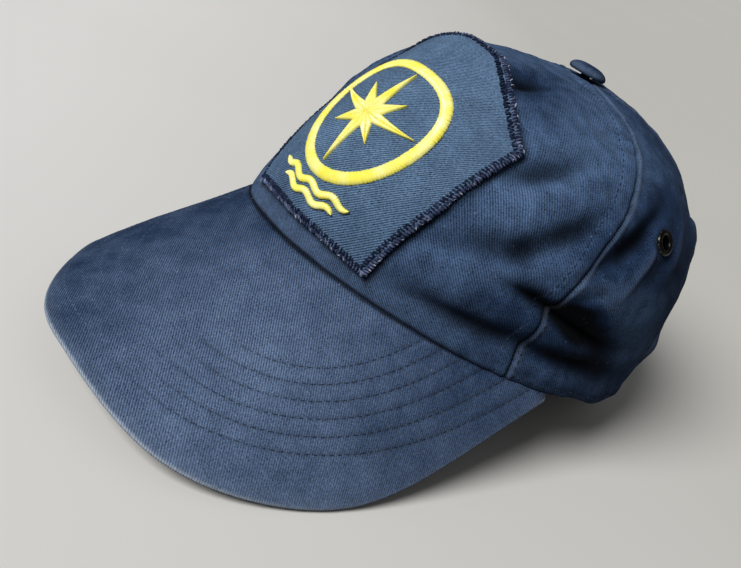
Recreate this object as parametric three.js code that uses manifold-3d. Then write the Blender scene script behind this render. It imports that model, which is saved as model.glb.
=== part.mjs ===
// A five-panel peaked cap in cotton twill with a sewn-on cloth patch, at rest on a flat surface.
// Millimetres. +Z is up, the visor points along -Y and +X is the wearer's left. The cap stands on
// the back of its hem and on the two low sides of its visor, and the origin lies on that surface
// under the middle of the cap's box.
//
// The crown is one smooth form, read by two angles: around, from the centre front at 0 towards the
// wearer's left, and up, from the rim at 0 to the top at a right angle.

import * as THREE from 'three';
import Module from 'manifold-3d';
import { mergeVertices } from 'three/addons/utils/BufferGeometryUtils.js';

const { clamp, degToRad, lerp } = THREE.MathUtils;
const RIGHT_ANGLE = Math.PI / 2;
const TURN = 2 * Math.PI;
const TINY = 1e-9;

// Driving dimensions: the head opening
const RIM_HALF_WIDTH = 84;
const RIM_FRONT = 97.6;
const RIM_BACK = 93;
const RIM_FRONT_POWER = 1.87;
const RIM_BACK_POWER = 1.9;
const RIM_LEAVES_VISOR = degToRad(74.5);
const RIM_ON_SURFACE_FROM = degToRad(165.5);

// The crown: its height, where its top lies, and how each side curves outward and upward
const CROWN_HEIGHT = 124.8;
const CROWN_TOP_Y = 21.7;
const FRONT_HUMP = { amount: 20.8, narrowing: 1.5, rise: 3 };
const CROWN_SIDES = {
  front: { outward: 2.92, upward: 1.91, bulge: 0.067 },
  side: { outward: 2.48, upward: 2.63 },
  back: { outward: 2.14, upward: 2.56, bulge: 0.04 },
};
const BULGE_CHANGE = { from: degToRad(50), over: degToRad(60) };

// Places where the worn crown stands out of or falls behind its even form
const SWELLS = [
  { name: 'right front pressed in', around: -42, spread: 26, atRim: 0.037, above: -0.197 },
  { name: 'left back drawn in at the rim', around: 120, spread: 27, atRim: -0.06, above: 0.115 },
  { name: 'right back drawn in at the rim', around: -120, spread: 27, atRim: -0.05, above: 0.07 },
];

// The visor: a board bent about a lying cylinder that falls to the front
const VISOR_BEND_RADIUS = 91.4;
const VISOR_BEND_LIMIT = 0.98 * VISOR_BEND_RADIUS;
const VISOR_FALL = Math.tan(degToRad(23.85));
const VISOR_SEAM_HEIGHT = 50.9;
const VISOR_HALF_WIDTH = 81.8;
const VISOR_FRONT = 173.9;
const VISOR_END = degToRad(70.6);
const VISOR_CORNERS = { left: 2.74, right: 2.17, change: 0.5 };
const VISOR_SKEW = 2.3;
const VISOR_RIGHT_FULLNESS = { swing: degToRad(-64), spread: degToRad(17), by: 9.3 };
const VISOR_THICKNESS = 2.4;
const VISOR_TUCK = 4;
const VISOR_END_WIDTH = 1.2;
const VISOR_END_SHARPNESS = 12;

// Cloth, gaps and how finely the walls are faceted
const GAP = 0.3;
const SEAM_GAP = 0.5;
const VISOR_SEAM_GAP = 0.7;
const FRONT_PANEL_THICKNESS = 1.9;
const SIDE_PANEL_THICKNESS = 1.4;
const FRONT_COLUMNS = 22;
const SIDE_COLUMNS = 11;
const PANEL_ROWS = 15;
const VISOR_COLUMNS = 30;
const VISOR_ROWS = 6;
const TOP_HOLE_RADIUS = 5;
const ROW_CROWDING = 1.15;

// Steps for measuring slopes and lengths on the curved faces, in radians and in millimetres
const ANGLE_STEP = 0.004;
const PACE_STEP = 0.01;
const LOWEST_UP = 0.0005;
const SLOPE_STEP = 0.5;
const MERGE_WITHIN = 1e-4;

// Seams that part the panels: degrees around at the rim and at the top
const SEAMS = {
  leftFront: { atRim: 61, atTop: 83 },
  leftBack: { atRim: 104, atTop: 127 },
  centreBack: { atRim: 180, atTop: 180 },
  rightFront: { atRim: -61, atTop: -83 },
  rightBack: { atRim: -104, atTop: -127 },
  centreBackFromRight: { atRim: -180, atTop: -180 },
};
const SEAM_TURN_ENDS = 1.3;

// The front is one wide panel with a backing, and the others are single cloth
const FRONT_CLOTH = { thickness: FRONT_PANEL_THICKNESS, columns: FRONT_COLUMNS };
const SIDE_CLOTH = { thickness: SIDE_PANEL_THICKNESS, columns: SIDE_COLUMNS };
const PANELS = [
  { name: 'crown_front', from: 'rightFront', to: 'leftFront', ...FRONT_CLOTH },
  { name: 'crown_side_left', from: 'leftFront', to: 'leftBack', ...SIDE_CLOTH },
  { name: 'crown_back_left', from: 'leftBack', to: 'centreBack', ...SIDE_CLOTH },
  { name: 'crown_back_right', from: 'centreBackFromRight', to: 'rightBack', ...SIDE_CLOTH },
  { name: 'crown_side_right', from: 'rightBack', to: 'rightFront', ...SIDE_CLOTH },
];

// Folds and dents: the cloth is pushed in by depth along a line that runs from one place to another,
// each place given by degrees around and the angle up. Deepest is a share of the way along.
const FOLDS = [
  {
    name: 'deep side fold',
    from: { around: 48, up: 0.35 }, to: { around: 88, up: 0.15 },
    depth: 6.5, width: 5, deepest: 0.68,
  },
  {
    name: 'roll above the deep fold',
    from: { around: 56, up: 0.44 }, to: { around: 90, up: 0.29 },
    depth: -2.2, width: 6, deepest: 0.6,
  },
  {
    name: 'crease over the visor seam',
    from: { around: 26, up: 0.11 }, to: { around: 72, up: 0.15 },
    depth: 2.2, width: 4.5, deepest: 0.5,
  },
  {
    name: 'lower side roll',
    from: { around: 66, up: 0.12 }, to: { around: 104, up: 0.08 },
    depth: 1.8, width: 4.5, deepest: 0.5,
  },
  {
    name: 'valley to the seam',
    from: { around: 43, up: 0.45 }, to: { around: 67, up: 0.71 },
    depth: 3.2, width: 7, deepest: 0.75,
  },
  {
    name: 'valley beside the patch',
    from: { around: 41, up: 0.74 }, to: { around: 56, up: 0.91 },
    depth: 2.6, width: 8, deepest: 0.4,
  },
  {
    name: 'dent behind the seam',
    from: { around: 70, up: 0.66 }, to: { around: 81, up: 0.54 },
    depth: 3, width: 7, deepest: 0.5,
  },
  {
    name: 'ridge before the eyelet',
    from: { around: 87, up: 0.8 }, to: { around: 78, up: 0.46 },
    depth: -2.2, width: 5, deepest: 0.5,
  },
  {
    name: 'back pleat',
    from: { around: 108, up: 0.95 }, to: { around: 128, up: 0.7 },
    depth: 3, width: 7, deepest: 0.5,
  },
  {
    name: 'back slack',
    from: { around: 118, up: 0.3 }, to: { around: 168, up: 0.24 },
    depth: 3, width: 9, deepest: 0.5,
  },
  {
    name: 'right side fold',
    from: { around: 272, up: 0.2 }, to: { around: 310, up: 0.36 },
    depth: 4, width: 6, deepest: 0.4,
  },
  {
    name: 'right back slack',
    from: { around: 196, up: 0.26 }, to: { around: 246, up: 0.34 },
    depth: 2.6, width: 9, deepest: 0.5,
  },
];
const FOLD_AROUND_SCALE = 84;
const FOLD_UP_SCALE = 78;

// The covered button on top
const BUTTON_RADIUS = 8;
const BUTTON_HEIGHT = 5.2;
const BUTTON_STEM_RADIUS = 2;
const BUTTON_STEM_LENGTH = 4;
const BUTTON_SEAT = 1.5;
const BUTTON_TILT = degToRad(11);
const BUTTON_SIDES = 24;
const BUTTON_OUTLINE = [
  { radius: 0.9, height: 0 },
  { radius: 1, height: 0.3 },
  { radius: 0.9, height: 0.65 },
  { radius: 0.55, height: 0.93 },
  { radius: 0, height: 1 },
];

// Vent eyelets, one in each side panel
const EYELET = { around: 88.5, up: 0.665, outer: 5.4, inner: 4.6, barrel: 3.3, bore: 2.5 };
const EYELET_FLANGE = { thickness: 0.7, edge: 0.5, lip: 0.4, seat: 0.65 };
const EYELET_HOLE_CLEARANCE = 0.4;
const EYELET_HOLE_LENGTH = 12;
const EYELET_SIDES = 16;

// The patch: half width at each height up the centre front, and how far its ends drop at the sides
const PATCH_ROWS = [
  { up: 12.2, halfWidth: 34, drop: 4.2 },
  { up: 41, halfWidth: 44.2, drop: 4.3 },
  { up: 70.5, halfWidth: 48.4, drop: 4.4 },
  { up: 103.5, halfWidth: 11, drop: 2.5 },
];
const PATCH_CENTRE = -1;
const PATCH_LIFT = 2 * GAP;
const PATCH_LEAST_HALF_WIDTH = 2;
const PATCH_THICKNESS = 1.2;
const BORDER_WIDTH = 4.4;
const BORDER_THICKNESS = 2;
const PATCH_COLUMNS = 12;
const PATCH_ROW_STEPS = 15;
const CENTRE_STEPS = 240;
const WIDTH_PASSES = 3;

// The raised embroidery on the patch: a compass star in a ring over two waves
const EMBROIDERY_THICKNESS = 1;
const STITCH_GAP = 0.7;
const STAR_CENTRE = { across: 1, up: 53 };
const STAR = { points: 8, long: 21, short: 13, waist: 5.5, edgeSteps: 2, ringsOut: 3 };
const RING = { inner: 22, outer: 26.5, steps: 40 };
const WAVES = [
  { name: 'emblem_wave_1', up: 23.4, halfLength: 19 },
  { name: 'emblem_wave_2', up: 19.5, halfLength: 14 },
];
const WAVE = { width: 2.6, height: 0.9, length: 11, steps: 24 };

// The cap's box lies evenly about the origin after this move
const ORIGIN_SHIFT = new THREE.Vector3(0.1, 40.3, 0);

const CLOTH = { color: 0x1b2440, roughness: 0.92, metalness: 0 };
const VISOR_CLOTH = { color: 0x222c47, roughness: 0.9, metalness: 0 };
const PATCH_CLOTH = { color: 0x1f2a42, roughness: 0.9, metalness: 0 };
const BORDER_THREAD = { color: 0x18203c, roughness: 0.8, metalness: 0 };
const YELLOW_THREAD = { color: 0xe6dc4a, roughness: 0.5, metalness: 0 };
const DARK_BRASS = { color: 0x2a2a22, roughness: 0.4, metalness: 0.9 };

const wasm = await Module();
wasm.setup();

// Small helpers on numbers
function smooth(t) {
  const c = clamp(t, 0, 1);
  return c * c * (3 - 2 * c);
}

function signedPower(value, power) {
  return Math.sign(value) * Math.abs(value) ** power;
}

// An angle brought between half a turn back and half a turn on
function wrapped(angle) {
  return Math.atan2(Math.sin(angle), Math.cos(angle));
}

function bellAround(around, centreDegrees, spreadDegrees) {
  const off = wrapped(around - degToRad(centreDegrees)) / degToRad(spreadDegrees);
  return Math.exp(-off * off);
}

// Height of the visor's upper face over any point of the plan
function visorHeight(x, y) {
  const side = Math.min(Math.abs(x), VISOR_BEND_LIMIT);
  const bend = VISOR_BEND_RADIUS - Math.sqrt(VISOR_BEND_RADIUS ** 2 - side * side);
  return VISOR_SEAM_HEIGHT - bend + VISOR_FALL * (RIM_FRONT + y);
}

// The rim seen from above: an ellipse whose front and back are drawn a little to a point
function evenRim(around) {
  const forward = Math.cos(around);
  const power = forward > 0 ? RIM_FRONT_POWER : RIM_BACK_POWER;
  const reach = forward > 0 ? RIM_FRONT : RIM_BACK;
  const exponent = 2 / lerp(2, power, smooth(2 * Math.abs(forward)));
  return {
    x: RIM_HALF_WIDTH * signedPower(Math.sin(around), exponent),
    y: -reach * signedPower(forward, exponent),
  };
}

function rimPlan(around) {
  const even = evenRim(around);
  let scale = 1;
  for (const swell of SWELLS) {
    scale += swell.atRim * bellAround(around, swell.around, swell.spread);
  }
  return { x: even.x * scale, y: even.y * scale };
}

// The rim follows the visor at the front, then runs down to the surface at the back
function rimHeight(around) {
  const turn = Math.abs(wrapped(around));
  if (turn <= RIM_LEAVES_VISOR) {
    const rim = rimPlan(around);
    return visorHeight(rim.x, rim.y) + VISOR_SEAM_GAP;
  }
  const end = evenRim(RIM_LEAVES_VISOR);
  const endHeight = visorHeight(end.x, end.y) + VISOR_SEAM_GAP;
  const run = (turn - RIM_LEAVES_VISOR) / (RIM_ON_SURFACE_FROM - RIM_LEAVES_VISOR);
  return endHeight * (1 - smooth(run));
}

// How the crown curves outward and upward at one place around
function crownCurve(around) {
  const forward = Math.cos(around);
  const { front, side, back } = CROWN_SIDES;
  const frontShare = Math.max(forward, 0) ** 2;
  const backShare = Math.max(-forward, 0) ** 2;
  const sideShare = 1 - frontShare - backShare;
  return {
    outward: frontShare * front.outward + sideShare * side.outward + backShare * back.outward,
    upward: frontShare * front.upward + sideShare * side.upward + backShare * back.upward,
  };
}

// The crown's even form, without folds
function crownForm(around, up) {
  const rim = rimPlan(around);
  const base = rimHeight(around);
  const forward = Math.cos(around);
  const { front, back } = CROWN_SIDES;
  const { outward, upward } = crownCurve(around);
  const turn = Math.abs(wrapped(around));
  const toBack = smooth((turn - BULGE_CHANGE.from) / BULGE_CHANGE.over);
  let bulge = lerp(front.bulge, back.bulge, toBack);
  for (const swell of SWELLS) {
    bulge += swell.above * bellAround(around, swell.around, swell.spread);
  }
  const inward = Math.max(Math.cos(up), TINY) ** (2 / outward) * (1 + bulge * Math.sin(2 * up));
  const rise = Math.max(Math.sin(up), TINY) ** (2 / upward);
  const humpAhead = FRONT_HUMP.amount * Math.max(forward, 0) ** FRONT_HUMP.narrowing;
  const hump = humpAhead * Math.sin(up) ** FRONT_HUMP.rise * Math.cos(up);
  return new THREE.Vector3(
    rim.x * inward,
    lerp(CROWN_TOP_Y, rim.y, inward),
    lerp(base, CROWN_HEIGHT, rise) + hump,
  );
}

function normalOf(surface, around, up) {
  const low = Math.max(up - ANGLE_STEP, LOWEST_UP);
  const alongRing = surface(around + ANGLE_STEP, up).sub(surface(around - ANGLE_STEP, up));
  const alongRise = surface(around, low + 2 * ANGLE_STEP).sub(surface(around, low));
  return alongRing.cross(alongRise).normalize();
}

// Millimetres of cloth for each radian around
function paceAround(around, up) {
  const before = crownForm(around - PACE_STEP, up);
  return crownForm(around + PACE_STEP, up).distanceTo(before) / (2 * PACE_STEP);
}

// How far the folds push the cloth in at one place
function foldDepth(around, up) {
  let depth = 0;
  for (const fold of FOLDS) {
    const runAround = degToRad(fold.to.around - fold.from.around) * FOLD_AROUND_SCALE;
    const runUp = (fold.to.up - fold.from.up) * FOLD_UP_SCALE;
    const across = wrapped(around - degToRad(fold.from.around)) * FOLD_AROUND_SCALE;
    const rise = (up - fold.from.up) * FOLD_UP_SCALE;
    const length = Math.hypot(runAround, runUp);
    const along = (across * runAround + rise * runUp) / (length * length);
    const aside = (across * runUp - rise * runAround) / length / fold.width;
    const taper = along < fold.deepest
      ? smooth(along / fold.deepest)
      : smooth((1 - along) / (1 - fold.deepest));
    depth += fold.depth * taper * Math.exp(-aside * aside);
  }
  return depth;
}

// The crown's outer face with its folds
function crownFace(around, up) {
  const point = crownForm(around, up);
  return point.addScaledVector(normalOf(crownForm, around, up), -foldDepth(around, up));
}

// A point at a height over the crown's outer face, or under it where the height is negative
function crownPoint(around, up, height) {
  return crownFace(around, up).addScaledVector(normalOf(crownFace, around, up), height);
}

function seamAt(seam, up) {
  return degToRad(lerp(seam.atRim, seam.atTop, smooth(up / SEAM_TURN_ENDS)));
}

// A closed wall between an outer and an inner grid of points
function wall(columns, rows, outerAt, innerAt) {
  const positions = [];
  const indices = [];
  const across = columns + 1;
  const layer = across * (rows + 1);
  for (const pointAt of [outerAt, innerAt]) {
    for (let row = 0; row <= rows; row += 1) {
      for (let column = 0; column <= columns; column += 1) {
        positions.push(...pointAt(column / columns, row / rows).toArray());
      }
    }
  }
  const quad = (a, b, c, d) => indices.push(a, b, c, a, c, d);
  for (let row = 0; row < rows; row += 1) {
    for (let column = 0; column < columns; column += 1) {
      const at = row * across + column;
      quad(at, at + 1, at + 1 + across, at + across);
      quad(layer + at, layer + at + across, layer + at + 1 + across, layer + at + 1);
    }
  }
  for (let column = 0; column < columns; column += 1) {
    const top = rows * across + column;
    quad(column, layer + column, layer + column + 1, column + 1);
    quad(top, top + 1, layer + top + 1, layer + top);
  }
  for (let row = 0; row < rows; row += 1) {
    const left = row * across;
    const right = left + columns;
    quad(left, left + across, layer + left + across, layer + left);
    quad(right, layer + right, layer + right + across, right + across);
  }
  return indexed(positions, indices);
}

function indexed(positions, indices) {
  const geometry = new THREE.BufferGeometry();
  geometry.setAttribute('position', new THREE.Float32BufferAttribute(positions, 3));
  geometry.setIndex(indices);
  geometry.computeVertexNormals();
  return geometry;
}

// A closed ring: a four-sided section carried round a closed path
function ring(steps, sectionAt) {
  const positions = [];
  const indices = [];
  for (let step = 0; step < steps; step += 1) {
    for (const corner of sectionAt(step)) {
      positions.push(...corner.toArray());
    }
  }
  for (let step = 0; step < steps; step += 1) {
    const here = step * 4;
    const next = ((step + 1) % steps) * 4;
    for (let side = 0; side < 4; side += 1) {
      const other = (side + 1) % 4;
      indices.push(here + side, next + side, next + other);
      indices.push(here + side, next + other, here + other);
    }
  }
  return indexed(positions, indices);
}

function piece(name, geometry, finish) {
  const mesh = new THREE.Mesh(geometry, new THREE.MeshStandardMaterial(finish));
  mesh.name = name;
  return mesh;
}

// Joining and cutting of closed meshes
function solidOf(geometry) {
  const bare = geometry.clone();
  bare.deleteAttribute('normal');
  bare.deleteAttribute('uv');
  const merged = mergeVertices(bare, MERGE_WITHIN);
  return new wasm.Manifold(new wasm.Mesh({
    numProp: 3,
    vertProperties: new Float32Array(merged.attributes.position.array),
    triVerts: new Uint32Array(merged.index.array),
  }));
}

function geometryOf(solid) {
  const mesh = solid.getMesh();
  return indexed(Array.from(mesh.vertProperties), Array.from(mesh.triVerts));
}

// The angle up at which the cloth ends, at a small round hole under the button
function topUp(around) {
  const rim = rimPlan(around);
  const reach = Math.hypot(rim.x, rim.y - CROWN_TOP_Y);
  return Math.acos((TOP_HOLE_RADIUS / reach) ** (crownCurve(around).outward / 2));
}

// Crown panels: gored walls of twill from seam to seam, hollow inside
function panelWall({ from, to, thickness, columns }) {
  const marginAt = (seam, up) => SEAM_GAP / 2 / paceAround(seam, up);
  const aroundAt = (column, up) => {
    const first = seamAt(SEAMS[from], up);
    const last = seamAt(SEAMS[to], up);
    return lerp(first + marginAt(first, up), last - marginAt(last, up), column);
  };
  const placeAt = (column, row) => {
    const up = topUp(aroundAt(column, RIGHT_ANGLE - ANGLE_STEP)) * row ** ROW_CROWDING;
    return [aroundAt(column, up), up];
  };
  const outerAt = (column, row) => crownFace(...placeAt(column, row));
  const innerAt = (column, row) => {
    const [around, up] = placeAt(column, row);
    const inner = crownPoint(around, up, -thickness);
    if (row > 0) {
      return inner;
    }
    const outer = crownFace(around, up);
    const onVisor = Math.abs(wrapped(around)) <= RIM_LEAVES_VISOR;
    inner.z = onVisor ? Math.max(outer.z, visorHeight(inner.x, inner.y) + VISOR_SEAM_GAP) : outer.z;
    return inner;
  };
  return wall(columns, PANEL_ROWS, outerAt, innerAt);
}

// A turn that lays the Y axis of a turned piece along the crown's outward direction
function turnOnCrown(around, up) {
  const outward = normalOf(crownFace, around, up);
  return new THREE.Quaternion().setFromUnitVectors(new THREE.Vector3(0, 1, 0), outward);
}

function eyeletHole(around, up) {
  const radius = EYELET.barrel + EYELET_HOLE_CLEARANCE;
  const hole = new THREE.CylinderGeometry(radius, radius, EYELET_HOLE_LENGTH, EYELET_SIDES);
  const centre = crownPoint(around, up, 0);
  hole.applyQuaternion(turnOnCrown(around, up));
  return hole.translate(centre.x, centre.y, centre.z);
}

// Eyelets: a rolled brass ring with a flange on both faces of the cloth
function eyelet(name, around, up) {
  const { outer, inner, barrel, bore } = EYELET;
  const { thickness, edge, lip, seat } = EYELET_FLANGE;
  const inside = -SIDE_PANEL_THICKNESS - seat;
  const profile = [
    [bore, inside - thickness],
    [inner, inside - thickness],
    [inner, inside],
    [barrel, inside],
    [barrel, seat],
    [outer, seat],
    [outer - edge, seat + thickness],
    [bore + lip, seat + thickness],
    [bore, seat + thickness / 2],
    [bore, inside - thickness],
  ].map(([radius, height]) => new THREE.Vector2(radius, height));
  const mesh = piece(name, new THREE.LatheGeometry(profile, EYELET_SIDES), DARK_BRASS);
  mesh.quaternion.copy(turnOnCrown(around, up));
  mesh.position.copy(crownPoint(around, up, 0));
  return mesh;
}

// The button: a low dome with a rolled edge and a stem through the top of the crown, leaning back
function button() {
  const stemEnd = BUTTON_SEAT - BUTTON_STEM_LENGTH;
  const profile = [
    new THREE.Vector2(0, stemEnd),
    new THREE.Vector2(BUTTON_STEM_RADIUS, stemEnd),
    new THREE.Vector2(BUTTON_STEM_RADIUS, BUTTON_SEAT),
  ];
  for (const { radius, height } of BUTTON_OUTLINE) {
    profile.push(new THREE.Vector2(radius * BUTTON_RADIUS, BUTTON_SEAT + height * BUTTON_HEIGHT));
  }
  const mesh = piece('top_button', new THREE.LatheGeometry(profile, BUTTON_SIDES), CLOTH);
  mesh.rotation.x = RIGHT_ANGLE - BUTTON_TILT;
  mesh.position.set(0, CROWN_TOP_Y, CROWN_HEIGHT);
  return mesh;
}

// The visor's outer edge in plan: a rounded sweep from one end of the seam to the other
function visorEdge(swing) {
  const end = evenRim(VISOR_END);
  const side = Math.sin(swing);
  const ahead = Math.cos(swing);
  const { left, right, change } = VISOR_CORNERS;
  const power = lerp(right, left, smooth((swing + change) / (2 * change)));
  const reach = Math.max(ahead, TINY) ** (2 / power);
  const toEnd = Math.abs(side) ** VISOR_END_SHARPNESS;
  const full = VISOR_RIGHT_FULLNESS;
  const bell = Math.exp(-(((swing - full.swing) / full.spread) ** 2));
  const sweep = VISOR_HALF_WIDTH * signedPower(side, 2 / power) - full.by * bell;
  return {
    x: lerp(sweep, Math.sign(side) * (end.x + VISOR_END_WIDTH), toEnd) + VISOR_SKEW * reach,
    y: lerp(end.y, -VISOR_FRONT, reach),
  };
}

function visorTop(out, swing) {
  const around = (swing / RIGHT_ANGLE) * VISOR_END;
  const rim = rimPlan(around);
  const radius = Math.hypot(rim.x, rim.y);
  const tucked = (radius - VISOR_TUCK) / radius;
  const edge = visorEdge(swing);
  const x = lerp(rim.x * tucked, edge.x, out);
  const y = lerp(rim.y * tucked, edge.y, out);
  return new THREE.Vector3(x, y, visorHeight(x, y));
}

function visorDown(point) {
  const before = visorHeight(point.x - SLOPE_STEP, point.y);
  const after = visorHeight(point.x + SLOPE_STEP, point.y);
  const slopeX = (after - before) / (2 * SLOPE_STEP);
  const down = new THREE.Vector3(slopeX, VISOR_FALL, -1).normalize();
  return point.clone().addScaledVector(down, VISOR_THICKNESS);
}

function visor() {
  const swingAt = (row) => lerp(-RIGHT_ANGLE, RIGHT_ANGLE, row);
  const topAt = (column, row) => visorTop(column, swingAt(row));
  const underAt = (column, row) => visorDown(topAt(column, row));
  return piece('visor', wall(VISOR_ROWS, VISOR_COLUMNS, topAt, underAt), VISOR_CLOTH);
}

// Lengths along the centre front, so that the patch is laid out in millimetres of cloth
const centreLengths = [0];
for (let step = 1; step <= CENTRE_STEPS; step += 1) {
  const before = crownForm(0, ((step - 1) / CENTRE_STEPS) * RIGHT_ANGLE);
  const after = crownForm(0, (step / CENTRE_STEPS) * RIGHT_ANGLE);
  centreLengths.push(centreLengths[step - 1] + before.distanceTo(after));
}

function upAtLength(length) {
  let step = 1;
  while (step < CENTRE_STEPS && centreLengths[step] < length) {
    step += 1;
  }
  const before = centreLengths[step - 1];
  const share = (length - before) / (centreLengths[step] - before);
  return ((step - 1 + share) / CENTRE_STEPS) * RIGHT_ANGLE;
}

function aroundAtWidth(width, up) {
  let around = 0;
  for (let pass = 0; pass < WIDTH_PASSES; pass += 1) {
    around = width / paceAround(around / 2, up);
  }
  return around;
}

// A point of the patch, by its width from the centre front, its length up from the rim and a height
function patchPoint(width, length, height) {
  const up = upAtLength(length);
  const around = aroundAtWidth(width, up);
  const foot = crownForm(around, up);
  return foot.addScaledVector(normalOf(crownForm, around, up), height);
}

// Half width, height and drop of the patch at a share of its height
function patchRow(share) {
  const place = clamp(share, 0, 1) * (PATCH_ROWS.length - 1);
  const index = Math.min(Math.floor(place), PATCH_ROWS.length - 2);
  const below = PATCH_ROWS[index];
  const above = PATCH_ROWS[index + 1];
  const part = place - index;
  return {
    up: lerp(below.up, above.up, part),
    halfWidth: lerp(below.halfWidth, above.halfWidth, part),
    drop: lerp(below.drop, above.drop, part),
  };
}

function patchPlace(across, share, inset) {
  const row = patchRow(share);
  const halfWidth = Math.max(row.halfWidth - inset, PATCH_LEAST_HALF_WIDTH);
  const middle = lerp(inset, -inset, share);
  return {
    width: PATCH_CENTRE + halfWidth * across,
    length: row.up + middle - row.drop * across * across,
  };
}

function patch() {
  const inset = BORDER_WIDTH + GAP;
  const at = (height) => (column, row) => {
    const place = patchPlace(2 * column - 1, row, inset);
    return patchPoint(place.width, place.length, height);
  };
  const outerAt = at(PATCH_LIFT + PATCH_THICKNESS);
  const innerAt = at(PATCH_LIFT);
  return piece('patch', wall(PATCH_COLUMNS, PATCH_ROW_STEPS, outerAt, innerAt), PATCH_CLOTH);
}

// The overlocked edge: a raised band all round the patch, walked bottom, left, top and right
const borderWalk = [];
for (let step = 0; step < PATCH_COLUMNS; step += 1) {
  borderWalk.push({ across: (2 * step) / PATCH_COLUMNS - 1, share: 0 });
}
for (let step = 0; step < PATCH_ROW_STEPS; step += 1) {
  borderWalk.push({ across: 1, share: step / PATCH_ROW_STEPS });
}
const borderBack = borderWalk.map(({ across, share }) => ({ across: -across, share: 1 - share }));
borderWalk.push(...borderBack);

function border() {
  const sectionAt = (step) => [
    [0, PATCH_LIFT],
    [0, PATCH_LIFT + BORDER_THICKNESS],
    [BORDER_WIDTH, PATCH_LIFT + BORDER_THICKNESS],
    [BORDER_WIDTH, PATCH_LIFT],
  ].map(([inset, height]) => {
    const { across, share } = borderWalk[step];
    const place = patchPlace(across, share, inset);
    return patchPoint(place.width, place.length, height);
  });
  return piece('patch_border', ring(borderWalk.length, sectionAt), BORDER_THREAD);
}

// Embroidery lies on the patch, each motif a low raised solid
const STITCHED_FROM = PATCH_LIFT + PATCH_THICKNESS + STITCH_GAP;
const STITCHED_TO = STITCHED_FROM + EMBROIDERY_THICKNESS;

function emblemPoint(angle, radius, height) {
  const width = STAR_CENTRE.across + radius * Math.sin(angle);
  return patchPoint(width, STAR_CENTRE.up + radius * Math.cos(angle), height);
}

// The star's outline as seen flat: straight edges from tip to waist, each cut into short steps
function starOutline() {
  const corners = [];
  for (let corner = 0; corner < STAR.points * 2; corner += 1) {
    const tip = corner % 4 === 0 ? STAR.long : STAR.short;
    const angle = (corner / STAR.points) * Math.PI;
    const reach = corner % 2 === 0 ? tip : STAR.waist;
    corners.push(new THREE.Vector2(Math.sin(angle), Math.cos(angle)).multiplyScalar(reach));
  }
  return corners.flatMap((corner, index) => {
    const next = corners[(index + 1) % corners.length];
    const stepAt = (_, step) => corner.clone().lerp(next, step / STAR.edgeSteps);
    return Array.from({ length: STAR.edgeSteps }, stepAt);
  });
}

function star() {
  const outline = starOutline();
  const count = outline.length;
  const positions = [];
  const indices = [];
  const addSpot = (spot, height) => {
    const place = patchPoint(STAR_CENTRE.across + spot.x, STAR_CENTRE.up + spot.y, height);
    positions.push(...place.toArray());
  };
  for (const height of [STITCHED_TO, STITCHED_FROM]) {
    addSpot(new THREE.Vector2(), height);
    for (let out = 1; out <= STAR.ringsOut; out += 1) {
      for (const spot of outline) {
        addSpot(spot.clone().multiplyScalar(out / STAR.ringsOut), height);
      }
    }
  }
  const layer = 1 + STAR.ringsOut * count;
  const at = (out, corner) => 1 + (out - 1) * count + (corner % count);
  for (let corner = 0; corner < count; corner += 1) {
    indices.push(0, at(1, corner + 1), at(1, corner));
    indices.push(layer, layer + at(1, corner), layer + at(1, corner + 1));
    for (let out = 1; out < STAR.ringsOut; out += 1) {
      const [a, b] = [at(out, corner), at(out, corner + 1)];
      const [c, d] = [at(out + 1, corner + 1), at(out + 1, corner)];
      indices.push(a, b, c, a, c, d);
      indices.push(layer + a, layer + c, layer + b, layer + a, layer + d, layer + c);
    }
    const [first, second] = [at(STAR.ringsOut, corner), at(STAR.ringsOut, corner + 1)];
    indices.push(first, second, layer + second, first, layer + second, layer + first);
  }
  return piece('emblem_star', indexed(positions, indices), YELLOW_THREAD);
}

function emblemRing() {
  const sectionAt = (step) => [
    [RING.outer, STITCHED_FROM],
    [RING.outer, STITCHED_TO],
    [RING.inner, STITCHED_TO],
    [RING.inner, STITCHED_FROM],
  ].map(([radius, height]) => emblemPoint((-step / RING.steps) * TURN, radius, height));
  return piece('emblem_ring', ring(RING.steps, sectionAt), YELLOW_THREAD);
}

function wave({ name, up, halfLength }) {
  const at = (height) => (column, row) => {
    const along = lerp(-halfLength, halfLength, column);
    const swell = WAVE.height * Math.cos((along / WAVE.length) * TURN);
    const aside = lerp(-WAVE.width / 2, WAVE.width / 2, row);
    return patchPoint(STAR_CENTRE.across + along, up + swell + aside, height);
  };
  return piece(name, wall(WAVE.steps, 1, at(STITCHED_TO), at(STITCHED_FROM)), YELLOW_THREAD);
}

// Assembly
const cap = new THREE.Group();
const eyeletAround = { left: degToRad(EYELET.around), right: degToRad(-EYELET.around) };
for (const panel of PANELS) {
  let geometry = panelWall(panel);
  for (const side of ['left', 'right']) {
    if (panel.name === `crown_side_${side}`) {
      const hole = eyeletHole(eyeletAround[side], EYELET.up);
      geometry = geometryOf(solidOf(geometry).subtract(solidOf(hole)));
    }
  }
  cap.add(piece(panel.name, geometry, CLOTH));
}
cap.add(visor());
cap.add(button());
cap.add(eyelet('eyelet_left', eyeletAround.left, EYELET.up));
cap.add(eyelet('eyelet_right', eyeletAround.right, EYELET.up));
cap.add(patch());
cap.add(border());
cap.add(star());
cap.add(emblemRing());
for (const row of WAVES) {
  cap.add(wave(row));
}
cap.position.copy(ORIGIN_SHIFT);

export default cap;
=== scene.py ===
import math
from collections import namedtuple

import bpy
import numpy as np
from mathutils import Matrix, Vector, noise
from mathutils.kdtree import KDTree


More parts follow.
